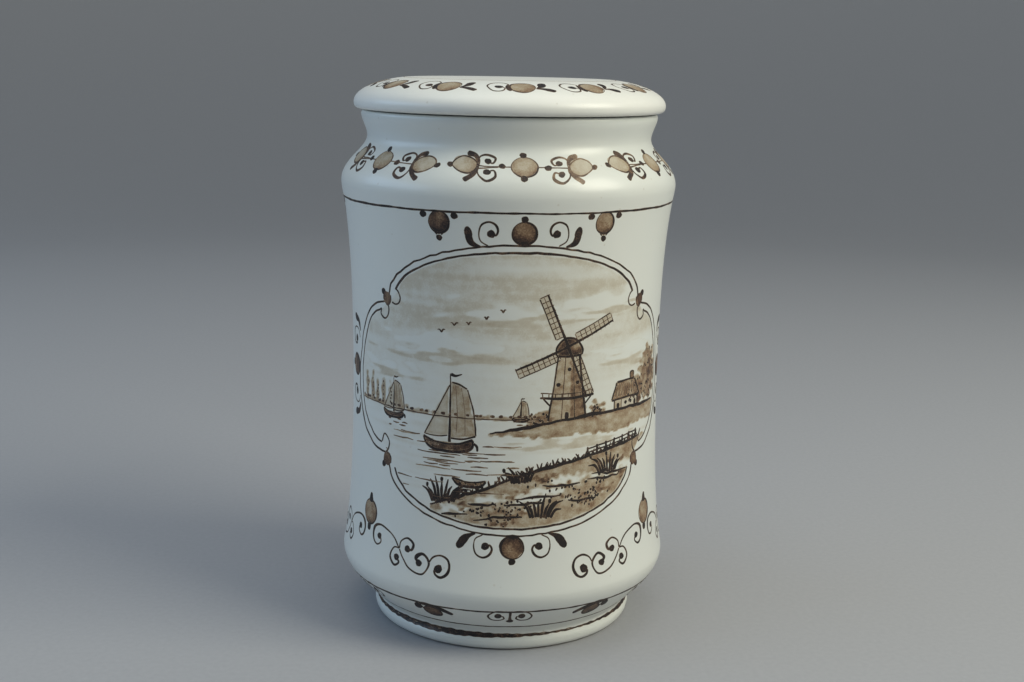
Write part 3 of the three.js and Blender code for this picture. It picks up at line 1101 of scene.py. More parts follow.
def neck_group():
    """A berry between two winged ones."""
    marks = berry(0, 0, 4.35, 3.95, 0.25, 0.48, -60, (0.02, -0.08), 0.78)
    marks += bead(-0.3, 4.7, 1.05, 0.92) + bead(-0.4, -4.5, 1.15, 0.93)
    marks += bead(-7.3, 0.3, 1.05, 0.86) + bead(7.7, -0.3, 1.15, 0.84)
    marks += line([(-15.6, 0.3), (-10, 0.1), (-4.3, 0)], 0.42, 0.78)
    marks += line([(4.3, 0), (10, -0.2), (15.6, -0.4)], 0.42, 0.72)
    marks += line([(-15.6, -0.8), (-8.3, -0.2)], (0.6, 0.35), 0.76)
    marks += put(loaded(winged_berry(), hand.uniform(0.9, 1.15)), -19.6, 0.7)
    return marks + put(loaded(winged_berry(), hand.uniform(0.72, 1.0)), 19.3, 0.0, mirror=True)


neck_run = jar_sheet.run_at(NECK_BAND_HEIGHT)
neck_groups = [(angle, put(neck_group(), 0, neck_run)) for angle in sorted(NECK_BAND_ANGLES)]
paint("neck_band", neck_groups, jar_sheet, rows=4)

# %% [markdown]
# ## Shoulder line and pendants
# The line marks where the shoulder turns into the wall. The pendants stand about 57 degrees
# apart in front, and go on round the back in the same rhythm.

# %% Shoulder
SHOULDER_LINE_HEIGHT = 156.1
PENDANT_DROP = 3.55
PENDANTS = {-26.5: 1.42, 28.9: 0.95, 88.0: 1.1, 151.5: 1.0, -149.0: 1.25, -88.0: 1.1}


shoulder_run = jar_sheet.run_at(SHOULDER_LINE_HEIGHT)
placed = hoop(jar_sheet, shoulder_run, 0.66, 0.93)
for angle, load in PENDANTS.items():
    placed.append((angle, put(loaded(pendant(), load), 0, shoulder_run - PENDANT_DROP)))
paint("shoulder_line_and_pendants", placed, jar_sheet, rows=4)

# %% [markdown]
# ## The picture frame
# Two thin lines run side by side round the picture: flat arches above and below, and two
# ears that bulge out at the sides. Where arch and ear meet, a small brown bud hides the
# joint and the lines end in hooks. Arches are half ellipses; the ears, which no simple curve
# fits, run through a few measured points. Ear, buds and hooks are drawn once and mirrored,
# and a second frame stands at the back.

# %% Frame lines
FRAME_HEIGHT = 96.0
TOP_ARCH_RISE, BOTTOM_ARCH_DROP = 28.5, 28.6
ARCH_OUTER = (48.4, 21.1)
ARCH_INNER = (45.6, 18.8)
ARCH_POINTS = 15
BUD = (49.2, 28.4)
EAR_OUTER = [(50.4, 27.3), (57.0, 25.0), (61.7, 20.6), (65.1, 14.7), (67.5, 7.2), (69.3, -0.5)]
EAR_OUTER += [(69.0, -8.0), (66.6, -15.0), (63.0, -20.5), (57.5, -24.7), (52.6, -26.2), (50.0, -26.3)]
EAR_INNER = [(53.0, 24.0), (56.0, 22.8), (59.8, 19.3), (62.5, 14.0), (64.8, 7.8), (66.3, 0.5)]
EAR_INNER += [(66.0, -7.0), (64.0, -14.0), (61.0, -18.0), (57.5, -21.0), (54.5, -22.6), (52.2, -23.1)]
LOWER_HOOK = [(50.0, -26.3), (48.6, -24.6), (48.2, -21.9), (50.6, -19.8), (52.2, -22.9)]


def arch(size, rise, reach, up=1):
    """Points along a half ellipse, as far as that many degrees either side of its crown."""
    turn = np.radians(np.linspace(-reach, reach, ARCH_POINTS))
    return np.c_[size[0] * np.sin(turn), up * (rise + size[1] * np.cos(turn))]


def frame_hooks():
    """The hooks at the upper right bud: the arch's inner line and the ear's inner line end in one each."""
    arch_hook = [(-4.5, 3.9), (-5.8, 2.7), (-6.5, 0.9), (-5.8, -0.9), (-4.2, -1.5), (-2.4, -1.0)]
    ear_hook = [(4.1, -4.6), (3.2, -4.0), (3.5, -5.8), (1.3, -7.1), (-0.4, -5.6), (-0.8, -3.6), (-0.3, -1.9)]
    marks = line(np.add(arch_hook, BUD), (0.7, 0.65, 0.6, 0.55, 0.6), 0.9)
    return marks + line(np.add(ear_hook, BUD), (0.6, 0.6, 0.6, 0.55, 0.5), 0.9)


def frame_bud():
    """The bud of the upper right joint, its dark tip pointing out and up."""
    x, y = BUD
    marks = blot(x, y, 1.95, 2.45, 0.58, 0.66, -12, 0.08, (0.05, -0.05), "ink")
    marks += line([(x + 1.2, y + 1.0), (x + 2.4, y + 3.3)], (1.7, 2.1, 1.5), 0.95)
    return marks + line([(x - 1.9, y + 1.4), (x - 2.0, y - 0.6), (x - 1.0, y - 2.3)], 0.42, 0.85)


def frame_lines():
    """Both lines of the frame with its joints, round its own middle."""
    marks = []
    for size, rise, up, reach, widths, shake in (
        (ARCH_OUTER, TOP_ARCH_RISE, 1, 88, (0.75, 0.55, 0.7, 0.55, 0.75), 0.12),
        (ARCH_INNER, TOP_ARCH_RISE, 1, 80, (1.0, 0.6, 0.85, 0.7, 1.0), 0.08),
        (ARCH_OUTER, BOTTOM_ARCH_DROP, -1, 88, (0.7, 0.55, 0.6, 0.7), 0.1),
        (ARCH_INNER, BOTTOM_ARCH_DROP, -1, 84, (0.7, 0.65, 0.75, 0.7), 0.12),
    ):
        marks += line(arch(size, rise, reach, up), widths, 0.9, shake=shake)
    side = line(EAR_OUTER, (0.7, 0.6, 0.85, 0.7), 0.92, shake=0.1) + line(EAR_INNER, 0.62, 0.9, shake=0.1)
    side += frame_bud() + frame_hooks() + line(LOWER_HOOK, (0.6, 0.7, 0.55), 0.9)
    side += put(frame_bud(), turn=180, mirror=True)
    return marks + side + put(side, mirror=True)


print("frame marks:", len(frame_lines()))

# %% The frame and its crests
FRONT, BACK = 0.0, 180.0
EAR_REACH = 69.3
SIDE_CREST_LIFT = 4.1


def framed(middle):
    """Frame and crests of the picture whose middle is at that angle, on three meridians."""
    run = jar_sheet.run_at(FRAME_HEIGHT)
    top = TOP_ARCH_RISE + ARCH_OUTER[1]
    bottom = BOTTOM_ARCH_DROP + ARCH_OUTER[1]
    crests = put(crest(11.6), 1.4, run + top + SIDE_CREST_LIFT)
    crests += put(crest(10.0, 3.95, 4.0, (8.5, 0.2)), -0.7, run - bottom - SIDE_CREST_LIFT, turn=180)
    side = math.degrees((EAR_REACH + SIDE_CREST_LIFT) / jar_sheet.read(jar_sheet.radius, run))
    return [
        (middle, put(frame_lines(), 0, run) + crests),
        (middle + side, put(crest(10.5, 3.8, 3.7), 0, run + 0.5, turn=-90)),
        (middle - side, put(crest(10.5, 3.8, 3.7), 0, run + 0.5, turn=90)),
    ]


paint("front_frame", framed(FRONT), jar_sheet)
paint("back_frame", framed(BACK), jar_sheet)

# %% [markdown]
# ## A landscape inside the frame
# Jars like this carry a small landscape. This one is the lesson's own: a windmill and a
# cottage on a dyke, sailing barges, reeds and a low horizon, all stock motifs of the trade.
# Sepia landscapes are built in two goes. Washes come first, from the palest to the
# strongest, each drying with a slightly darker edge. Then a fine brush draws lines and dabs
# over them.
#
# The washes are worked out on a grid of 0.5 mm over the picture: each wash is a shape with
# a signed distance to its edge, which gives both its soft border and its dark drying rim.

# %% Picture field
PICTURE_CELL = 0.5
PICTURE_HALF_WIDTH, PICTURE_HALF_HEIGHT = 67.0, 48.0
MOTTLE_WAVES = 14
BORDER_REACH = 82

Wash = namedtuple("Wash", "reach tint rim soft")
field_x, field_y = np.meshgrid(
    np.arange(-PICTURE_HALF_WIDTH, PICTURE_HALF_WIDTH + PICTURE_CELL, PICTURE_CELL),
    np.arange(-PICTURE_HALF_HEIGHT, PICTURE_HALF_HEIGHT + PICTURE_CELL, PICTURE_CELL),
)


def inside(x, y, corners):
    """Distance to a closed outline, positive inside it."""
    corners = np.asarray(corners, float)
    nearest = np.full(x.shape, np.inf)
    within = np.zeros(x.shape, bool)
    for (ax, ay), (bx, by) in zip(corners, np.roll(corners, -1, axis=0)):
        ex, ey = bx - ax, by - ay
        share = np.clip(((x - ax) * ex + (y - ay) * ey) / (ex * ex + ey * ey + GUARD), 0, 1)
        nearest = np.minimum(nearest, np.hypot(x - ax - share * ex, y - ay - share * ey))
        if abs(ey) > TINY:
            within ^= ((ay > y) != (by > y)) & (x < ax + (y - ay) * ex / ey)
    return np.where(within, nearest, -nearest)


def mottle(wide, high):
    """Soft random unevenness of the field, of about unit height, as wide and high as asked."""
    total = 0
    for turn in hand.uniform(0, FULL_TURN, MOTTLE_WAVES):
        stretch = hand.uniform(0.6, 1.5)
        along = np.cos(turn) * field_x / wide + np.sin(turn) * field_y / high
        total = total + np.cos(FULL_TURN * stretch * along + hand.uniform(0, FULL_TURN))
    return total / math.sqrt(MOTTLE_WAVES / 2)


def ease(value, low, high):
    """Goes smoothly from 0 at low to 1 at high."""
    share = np.clip((value - low) / (high - low), 0, 1)
    return share * share * (3 - 2 * share)


def picture_border():
    """The outline of the field: just inside the inner lines of arches and ears."""
    top = arch(ARCH_INNER, TOP_ARCH_RISE, BORDER_REACH)
    bottom = arch(ARCH_INNER, BOTTOM_ARCH_DROP, BORDER_REACH, -1)[::-1]
    right = through(EAR_INNER)[0][::4]
    left = right[::-1] * (-1, 1)
    return np.vstack([top, right, bottom, left])


field_reach = inside(field_x, field_y, picture_border()) - 0.1
print("picture cells:", field_x.size, "inside:", int((field_reach > 0).sum()))

# %% [markdown]
# ## The painter's sketchbook
# A picture gathers washes and ink marks. Each thing in it, such as a barge or a clump of
# reeds, is one function that draws it at a place and size, so the front and the back of
# the jar can hold different scenes from the same hand.

# %% Sketchbook
PEN_WEIGHT = 1.32
PEN_LOAD = 1.1
DAB_SHAPE = np.array([0.5, 1.0, 0.8])
SKY_TOP = 44


def heading(degrees):
    """The direction at that angle above the right."""
    return np.array([math.cos(math.radians(degrees)), math.sin(math.radians(degrees))])


class Picture:
    """Washes and ink marks of one scene, in millimetres from its middle."""

    def __init__(self, horizon):
        self.horizon = horizon
        self.washes = []
        self.marks = []

    def wash(self, corners, tint, rim=0.05, soft=0.3, rough=0.25):
        """A wash inside an outline, with a wavering edge."""
        self.washes.append(Wash(inside(field_x, field_y, corners) + rough * mottle(4, 3), tint, rim, soft))

    def pool(self, x, y, wide, high, tint, rim=0.04, soft=0.5, rough=0.7, streak=(5, 4)):
        """A rounded wash; its edge wavers at the width and height of the streak."""
        reach = (1 - np.hypot((field_x - x) / wide, (field_y - y) / high)) * min(wide, high)
        self.washes.append(Wash(reach + rough * mottle(*streak), tint, rim, soft))

    def clouds(self, places):
        """White clouds with a level grey-brown streak under each."""
        for x, y, wide, high in places:
            self.pool(x, y, wide, high, 0.012, 0.05, 1.3, 1.3, streak=(16, 5))
            self.pool(x + 0.3 * wide, y - 0.9 * high, 0.9 * wide, 0.32 * high, 0.13, 0.03, 0.8, 0.8, (18, 3))

    def ink(self, points, widths=0.4, pigment=0.86, shake=0.06):
        """A line of the fine brush."""
        self.marks += line(points, PEN_WEIGHT * np.atleast_1d(widths), pigment * PEN_LOAD, shake=shake)

    def dab(self, x, y, length, turn, width=0.6, pigment=0.88):
        """One touch of the brush."""
        reach = length / 2 * heading(turn)
        middle = np.array([x, y])
        self.ink([middle - reach, middle, middle + reach], width * DAB_SHAPE, pigment, TREMOR)

    def draw(self, x, y, scale, washes, lines, weight=1.0, shake=0.04):
        """A thing drawn from its foot: its washes first, then its ink lines."""
        for corners, tint, rough in washes:
            self.wash([(x + scale * across, y + scale * up) for across, up in corners], tint, rough=rough)
        for points, widths, pigment in lines:
            points = [(x + scale * across, y + scale * up) for across, up in points]
            self.ink(points, weight * np.atleast_1d(widths), pigment, shake)

    def tint(self):
        """Pigment over the field."""
        height = ease(field_y, self.horizon, SKY_TOP)
        bands = mottle(70, 11) + 0.35 * mottle(26, 4)
        sky = 0.026 + 0.072 * height + (0.008 + 0.022 * height) * bands
        water = 0.020 + 0.012 * mottle(26, 2.5) + 0.010 * mottle(60, 7)
        tint = np.where(field_y > self.horizon, sky, water)
        for one in self.washes:
            cover = ease(one.reach, -one.soft, one.soft)
            rim = one.rim * np.exp(-((one.reach - 0.3) / 0.6) ** 2)
            grain = 1 + 0.12 * mottle(8, 4) + 0.05 * mottle(3, 2)
            tint = tint * (1 - cover) + cover * (one.tint * grain + rim)
        return np.clip(tint, 0.004, 1) * ease(field_reach, 0, 0.9 + 0.3 * mottle(9, 9).clip(-1, 1))


print("45 degrees above the right points to", heading(45).round(2))

# %% From a picture to a piece
PICTURE_LIFT = 0.012
BORDER_CLEAR = 0.5


def clipped(marks):
    """Picture lines cut where they would cross the border."""
    border = picture_border()
    kept = []
    for mark in marks:
        places = mark.path if isinstance(mark, Line) else mark.rim
        clear = inside(places[:, 0], places[:, 1], border) > BORDER_CLEAR
        if clear.all():
            kept.append(mark)
        elif isinstance(mark, Line):
            edges = np.flatnonzero(np.diff(np.r_[False, clear, False].astype(int)))
            for start, end in edges.reshape(-1, 2):
                if end - start > 3:
                    cut = slice(start, end)
                    width = mark.width[cut] * np.sin(np.linspace(0.3, math.pi - 0.3, end - start)) ** 0.3
                    kept.append(Line(mark.path[cut], width, mark.pigment[cut], mark.layer))
    return kept


def picture_piece(name, picture, middle):
    """The washes as one fine skin on the wall, and the ink over them."""
    run = jar_sheet.run_at(FRAME_HEIGHT) + field_y
    angle = math.radians(middle) + field_x / jar_sheet.read(jar_sheet.radius, run)
    used = field_reach > -PICTURE_CELL
    rows, columns = np.nonzero(used[:-1, :-1] & used[1:, :-1] & used[:-1, 1:] & used[1:, 1:])
    wide = field_x.shape[1]
    first = rows * wide + columns
    kept, corners = np.unique(np.c_[first, first + 1, first + wide + 1, first + wide], return_inverse=True)
    angles, runs, tint = (column.ravel()[kept] for column in (angle, run, picture.tint()))
    faces = corners.reshape(-1, 4).tolist()
    skin(name, jar_sheet, angles, runs, PICTURE_LIFT, tint, faces, (0, math.radians(middle), 1))
    paint(name, [(middle, put(clipped(picture.marks), 0, jar_sheet.run_at(FRAME_HEIGHT)))], jar_sheet)


print("the washes of a picture lie", PICTURE_LIFT, "mm off the wall")

# %% [markdown]
# ## Things to draw
# Foliage is a pool of wash with dabs over it, thicker along its shaded right side and
# lower edge. Reeds and grass are quick strokes from one root. Water needs only a few level
# lines. A windmill of the smock type is a tapered eight-sided tower with a boat-shaped cap,
# a stage with a rail, and four latticed sails.

# %% Plants


def draw_foliage(picture, x, y, wide, high, dabs, tint=0.38, pigment=0.92):
    """A leafy mass with its light from the left."""
    picture.pool(x, y, wide, high, tint, rough=0.9)
    picture.pool(x + 0.35 * wide, y - 0.25 * high, 0.55 * wide, 0.6 * high, tint + 0.14, rough=0.9)
    for _ in range(dabs):
        turn, far = hand.uniform(0, FULL_TURN), math.sqrt(hand.uniform(0.05, 1.1))
        across, up = far * math.cos(turn), far * math.sin(turn)
        if across - up < hand.uniform(-1.5, 0.4) and far < 0.85:
            continue
        strength = pigment + hand.uniform(-0.22, 0.08)
        length, lean, width = (hand.uniform(*limits) for limits in ((0.7, 1.5), (20, 120), (0.4, 0.75)))
        picture.dab(x + wide * across, y + high * up, length, lean, width, strength)


def draw_tree(picture, x, y, height, crown, dabs):
    """A leaning trunk with three boughs, each with its own foliage."""
    trunk = [(0, 0), (-0.03, 0.3), (0.12, 0.62)]
    picture.draw(x, y, height, [], [(trunk, (1.7, 1.1, 0.6), 0.9)], shake=0.06)
    picture.ink([(x + 0.9, y), (x + 0.5, y + 0.25 * height)], (1.3, 0.4), 0.8)
    for side, lift, reach in ((-0.75, 0.62, 0.8), (0.1, 0.84, 1.0), (0.85, 0.6, 0.75)):
        end = (x + side * crown, y + lift * height)
        root = (x - 0.02 * height, y + 0.34 * height)
        middle = ((root[0] + end[0]) / 2 - 0.4 * side, (root[1] + end[1]) / 2 + 1)
        picture.ink([root, middle, end], (0.8, 0.5, 0.3), 0.86)
        draw_foliage(picture, *end, 0.62 * crown * reach, 0.44 * crown * reach, dabs)


def draw_poplars(picture, x, y, count, height):
    """A far row of slim trees."""
    for i in range(count):
        foot = x + i * 0.42 * height + hand.uniform(-0.4, 0.4)
        tall = height * hand.uniform(0.75, 1.1)
        picture.pool(foot, y + 0.5 * tall, 0.13 * tall, 0.5 * tall, 0.33, soft=0.3, rough=0.2)
        for share in np.linspace(0.15, 0.83, 5):
            picture.dab(foot + hand.uniform(-0.3, 0.6), y + tall * share, 1.1, 80, 0.45, 0.74)


def draw_reeds(picture, x, y, height, count, lean=12, heads=2):
    """Blades that fan out from one root, with a few bulrush heads."""
    for i in range(count):
        share = (i + 0.5) / count - 0.5
        tall = height * hand.uniform(0.6, 1.0) * (1 - 0.5 * abs(share))
        across, up = tall * heading(90 - lean - 95 * share)
        foot = (x + 0.8 * height * share, y + hand.uniform(-0.5, 0.5))
        middle = (foot[0] + 0.5 * across, foot[1] + 0.6 * tall)
        tip = (foot[0] + 1.1 * across, foot[1] + up)
        picture.ink([foot, middle, tip], (0.75, 0.75, 0.25), hand.uniform(0.86, 1.0))
        if i % max(1, count // max(1, heads)) == 1:
            picture.dab(tip[0], tip[1] + 0.6, 1.9, 90 - lean, 0.85, 0.92)


def draw_grass(picture, top, x_from, x_to, pitch=1.9, height=2.5):
    """Tufts along a ground line, which is a function of x."""
    for x in np.arange(x_from, x_to, pitch):
        at = x + hand.uniform(-0.6, 0.6)
        for lean in hand.uniform(-50, 50, 2):
            tip = (at + height * heading(90 + lean)[0], top(at) + height * hand.uniform(0.5, 1.1))
            picture.ink([(at, top(at) - 0.4), tip], (0.75, 0.25), hand.uniform(0.8, 0.96))


# %% Water and birds


def draw_ripples(picture, x, y, wide, rows, gap=1.7, pigment=0.5):
    """Level broken lines on water."""
    for row in np.repeat(range(rows), 2):
        start, length = x + wide * hand.uniform(-0.5, 0.3), wide * hand.uniform(0.12, 0.4)
        level = y - gap * row + hand.uniform(-0.3, 0.3)
        middle = (start + length / 2, level + hand.uniform(-0.25, 0.25))
        stroke = [(start, level), middle, (start + length, level)]
        picture.ink(stroke, (0.2, 0.42, 0.2), pigment + hand.uniform(-0.15, 0.12))


def draw_birds(picture, x, y, count):
    """Two wings each, a short flight that climbs to the right."""
    for i in range(count):
        across, up = x + 5.2 * i + hand.uniform(-1.2, 1.2), y + 2.3 * hand.uniform(-1, 1) + 1.2 * i
        span = hand.uniform(1.0, 1.6)
        wings = [(-span, 0.7), (-0.4 * span, 0.75), (0, 0), (0.5 * span, 0.9), (span, 0.75)]
        picture.ink(np.add(wings, (across, up)), (0.2, 0.4, 0.45, 0.2), 0.7)


# %% Boats
BARGE_LENGTH, ROWING_BOAT_LENGTH = 17, 12


def draw_barge(picture, x, y, size, sail=0.27):
    """A flat-bottomed sailing barge that points left; size is its length on the water."""
    scale = size / BARGE_LENGTH
    hull = [(-8.2, 1.6), (-9.4, 3.9), (-5.5, 2.6), (3.0, 2.4), (8.3, 4.0), (8.0, 1.4), (5.0, 0), (-5.6, 0)]
    main = [(0.6, 4.2), (0.9, 23.0), (6.3, 21.0), (9.3, 5.4)]
    jib = [(-0.1, 22.0), (-0.3, 5.0), (-8.9, 4.6)]
    keel = [(-9.3, 3.8), (-8.1, 1.4), (-5.4, 0.0), (5.0, 0.0), (8.0, 1.5), (8.3, 4.0)]
    washes = [(hull, 0.64, 0.1), (main, sail, 0.12), (jib, 0.6 * sail, 0.12)]
    lines = [
        ([(-9.4, 4.0), (-5.5, 2.6), (3.0, 2.4), (8.4, 4.1)], (0.6, 0.5, 0.7), 0.9),
        (keel, (0.4, 0.7, 0.9, 0.6), 0.9),
        ([(0.3, 2.6), (0.4, 14.0), (0.5, 26.0)], (0.8, 0.5, 0.25), 0.9),
        ([(0.9, 23.0), (3.6, 22.4), (6.3, 21.0)], 0.45, 0.84),
        ([(6.3, 21.0), (8.4, 13.5), (9.3, 5.4)], 0.38, 0.8),
        ([(9.3, 5.4), (5.0, 4.2), (0.6, 4.2)], 0.45, 0.84),
        ([(0.4, 22.2), (-4.0, 13.8), (-9.0, 4.5)], 0.34, 0.78),
        ([(-0.3, 5.0), (-4.4, 4.4), (-8.8, 4.7)], 0.32, 0.74),
        ([(2.3, 22.3), (2.9, 13.0), (2.6, 5.0)], 0.22, 0.5),
        ([(4.3, 21.6), (5.5, 13.0), (5.6, 5.2)], 0.22, 0.5),
        ([(0.5, 25.7), (2.2, 25.2), (4.6, 25.9)], (0.9, 0.6, 0.2), 0.86),
        ([(8.4, 3.0), (9.6, 2.0), (9.8, 0.2)], (0.6, 0.7, 0.5), 0.88),
    ]
    picture.draw(x, y, scale, washes, lines, weight=max(0.62, scale**0.5))
    draw_ripples(picture, x + 0.5, y - 0.9 * scale, 22 * scale, 2 + int(3 * scale), 1.1, 0.62)


def draw_rowing_boat(picture, x, y, size):
    """Empty, moored with its bow to the left."""
    hull = [(-6.2, 2.6), (-4.0, 0.4), (3.6, 0.0), (5.6, 2.0), (0.0, 1.5)]
    lines = [
        ([(-6.3, 2.7), (0, 1.4), (5.7, 2.1)], 0.5, 0.88),
        ([(-6.3, 2.6), (-4.2, 0.5), (0, -0.1), (3.8, 0.1), (5.7, 2.0)], (0.4, 0.8, 0.9, 0.5), 0.9),
        ([(-2.0, 1.9), (-1.0, 0.5)], 0.4, 0.8),
        ([(1.8, 2.0), (2.4, 0.5)], 0.4, 0.8),
    ]
    picture.draw(x, y, size / ROWING_BOAT_LENGTH, [(hull, 0.48, 0.1)], lines, shake=0.06)


# %% Windmill
MILL_HUB_HEIGHT = 27


def draw_windmill(picture, x, y, size, turn=23):
    """A smock mill; size is the height of its hub."""
    scale = size / MILL_HUB_HEIGHT
    tower = [(-7.4, 0), (-4.1, 23.5), (3.9, 23.5), (7.2, 0)]
    shade = [(1.0, 0), (0.8, 23.5), (3.9, 23.5), (7.2, 0)]
    cap = [(-4.9, 23.3), (-4.6, 26.5), (-1.5, 29.4), (2.4, 28.8), (5.0, 25.2), (4.8, 23.3)]
    cap_edge = [(-4.9, 23.3), (-4.7, 26.4), (-1.5, 29.4), (2.4, 28.8), (5.1, 25.2), (4.8, 23.2)]
    lines = [
        ([(-7.4, 0), (-5.6, 12.0), (-4.1, 23.5)], (0.6, 0.4, 0.5), 0.86),
        ([(7.2, 0), (5.4, 12.0), (3.9, 23.5)], (0.8, 0.6, 0.6), 0.9),
        ([(-2.6, 0.2), (-1.9, 12.0), (-1.4, 23.3)], 0.3, 0.62),
        ([(2.6, 0.2), (2.1, 12.0), (1.5, 23.3)], 0.34, 0.74),
        (cap_edge, 0.55, 0.9),
        ([(-5.0, 23.3), (0.0, 22.9), (4.9, 23.3)], 0.6, 0.9),
        ([(-10.6, 8.6), (0.0, 7.9), (10.4, 8.6)], (0.5, 0.8, 0.6), 0.9),
        ([(-10.4, 10.3), (0.0, 9.6), (10.2, 10.3)], 0.28, 0.74),
        ([(-9.4, 8.4), (-6.3, 5.2)], 0.4, 0.84),
        ([(9.3, 8.4), (6.3, 5.2)], 0.45, 0.86),
    ]
    picture.draw(x, y, scale, [(tower, 0.28, 0.1), (shade, 0.50, 0.15), (cap, 0.64, 0.1)], lines)
    rail_posts = [([(post, 8.3), (post, 10.2)], 0.26, 0.76) for post in np.linspace(-9.6, 9.4, 9)]
    picture.draw(x, y, scale, [], rail_posts, shake=0.06)
    for across, up, tall in ((-0.4, 1.6, 3.2), (-3.9, 13.0, 1.7), (3.4, 13.4, 1.7), (0.2, 18.3, 1.6)):
        picture.dab(x + scale * across, y + scale * up, tall * scale, 90, 1.3 * scale, 0.9)
    draw_sails(picture, x - 0.6 * scale, y + 26.4 * scale, 20.5 * scale, turn)


def draw_sails(picture, x, y, reach, turn):
    """Four latticed sails on two crossed stocks."""
    hub = np.array([x, y])
    for quarter in range(4):
        out, side = reach * heading(turn + 90 * quarter), 0.155 * reach * heading(turn + 90 * quarter + 90)
        picture.ink([hub, hub + 0.5 * out, hub + out], (0.85, 0.6, 0.5), 0.92, 0.03)
        first, last = hub + 0.2 * out, hub + 0.98 * out
        picture.ink([first + side, (first + last) / 2 + side, last + side], 0.3, 0.8, 0.03)
        picture.wash([first, last, last + side, first + side], 0.17, 0.02, 0.25, 0.05)
        for share in np.linspace(0.2, 0.98, 9):
            rib = hub + share * out
            picture.ink([rib - 0.25 * side, rib + side], 0.25, 0.72, 0.02)
        picture.ink([first + 0.5 * side, last + 0.5 * side], 0.2, 0.6, 0.02)
    picture.marks += bead(x, y, 0.9)


# %% Cottage
COTTAGE_LENGTH = 16


def draw_cottage(picture, x, y, size):
    """A low house with a thatched roof and a chimney, seen along its ridge."""
    scale = size / COTTAGE_LENGTH
    wall = [(-7.5, 0), (-7.5, 4.6), (7.6, 4.6), (7.6, 0)]
    roof = [(-9.0, 4.2), (-6.4, 11.2), (5.0, 11.4), (9.0, 4.2)]
    gable = [(-7.5, 0), (-7.5, 4.6), (-4.6, 6.0), (-3.4, 4.4), (-3.4, 0)]
    chimney = [(2.0, 11.0), (2.0, 14.0), (4.1, 14.0), (4.1, 11.2)]
    washes = [(wall, 0.12, 0.12), (gable, 0.24, 0.12), (roof, 0.42, 0.12), (chimney, 0.5, 0.12)]
    lines = [
        ([(-9.1, 4.1), (-6.4, 11.2)], 0.5, 0.88),
        ([(-6.4, 11.2), (0, 11.5), (5.0, 11.4)], (0.6, 0.5, 0.7), 0.88),
        ([(5.0, 11.4), (9.1, 4.1)], 0.6, 0.9),
        ([(-9.1, 4.1), (0, 4.5), (9.1, 4.1)], (0.6, 0.5, 0.7), 0.88),
        ([(-7.5, 4.4), (-7.5, 0)], 0.4, 0.84),
        ([(7.6, 4.4), (7.6, 0)], 0.5, 0.88),
        ([(-3.4, 4.4), (-3.4, 0)], 0.3, 0.74),
        ([(2.0, 11.3), (2.0, 14.1), (4.2, 14.1), (4.2, 11.3)], 0.45, 0.88),
    ]
    picture.draw(x, y, scale, washes, lines)
    thatch = []
    for along in np.linspace(-6.6, 6.4, 9):
        thatch.append(([(0.86 * along, 10.4), (1.06 * along, 5.2)], (0.2, 0.3), 0.66))
    picture.draw(x, y, scale, [], thatch, shake=0.06)
    openings = ((-5.4, 1.6, 2.6, 1.3), (-0.6, 2.3, 1.7, 1.2), (2.6, 2.3, 1.7, 1.2), (5.6, 1.5, 2.8, 1.4))
    for across, up, tall, wide in openings:
        picture.dab(x + scale * across, y + scale * up, tall * scale, 90, wide * scale, 0.88)


# %% [markdown]
# ## Two scenes
# In front the dyke comes in from the right with the mill on it, and the water opens to the
# left. The back, which the photographer didn't show, has barges on open water. Both keep
# the low horizon, the pale sky with its level bands and the stronger washes below.

# %% Far shore and banks


def draw_far_shore(picture, x_from, x_to, bushes):
    """A thin strip of land on the horizon."""
    low, high = picture.horizon - 0.3, picture.horizon + 0.7
    strip = [(x_from, low), (x_from + 4, high), (x_to - 4, high + 0.1), (x_to, low)]
    picture.wash(strip, 0.34, 0.02, 0.3, 0.3)
    picture.ink([(x_from, low), ((x_from + x_to) / 2, low - 0.1), (x_to, low)], 0.35, 0.7)
    for x in np.linspace(x_from + 2, x_to - 2, bushes):
        place, length, lean = (hand.uniform(*limits) for limits in ((-1, 1), (0.8, 2.2), (-8, 20)))
        picture.dab(x + place, high, length, lean, 0.75, 0.62)


def draw_bank(picture, top, x_from, x_to, tint, shore=None):
    """Ground between its top line, which is a function of x, and its shore, if it has one."""
    crest_line = [(x, top(x)) for x in np.linspace(x_from, x_to, 40)]
    shore = shore or [(x_to, -PICTURE_HALF_HEIGHT), (x_from, -PICTURE_HALF_HEIGHT)]
    picture.wash(crest_line + shore, tint, 0.09, 0.25, 0.25)
    picture.ink(crest_line[::4], (0.4, 1.0, 0.6, 1.1, 0.6, 1.0, 0.4), 0.92, 0.14)


# %% What lies on a bank


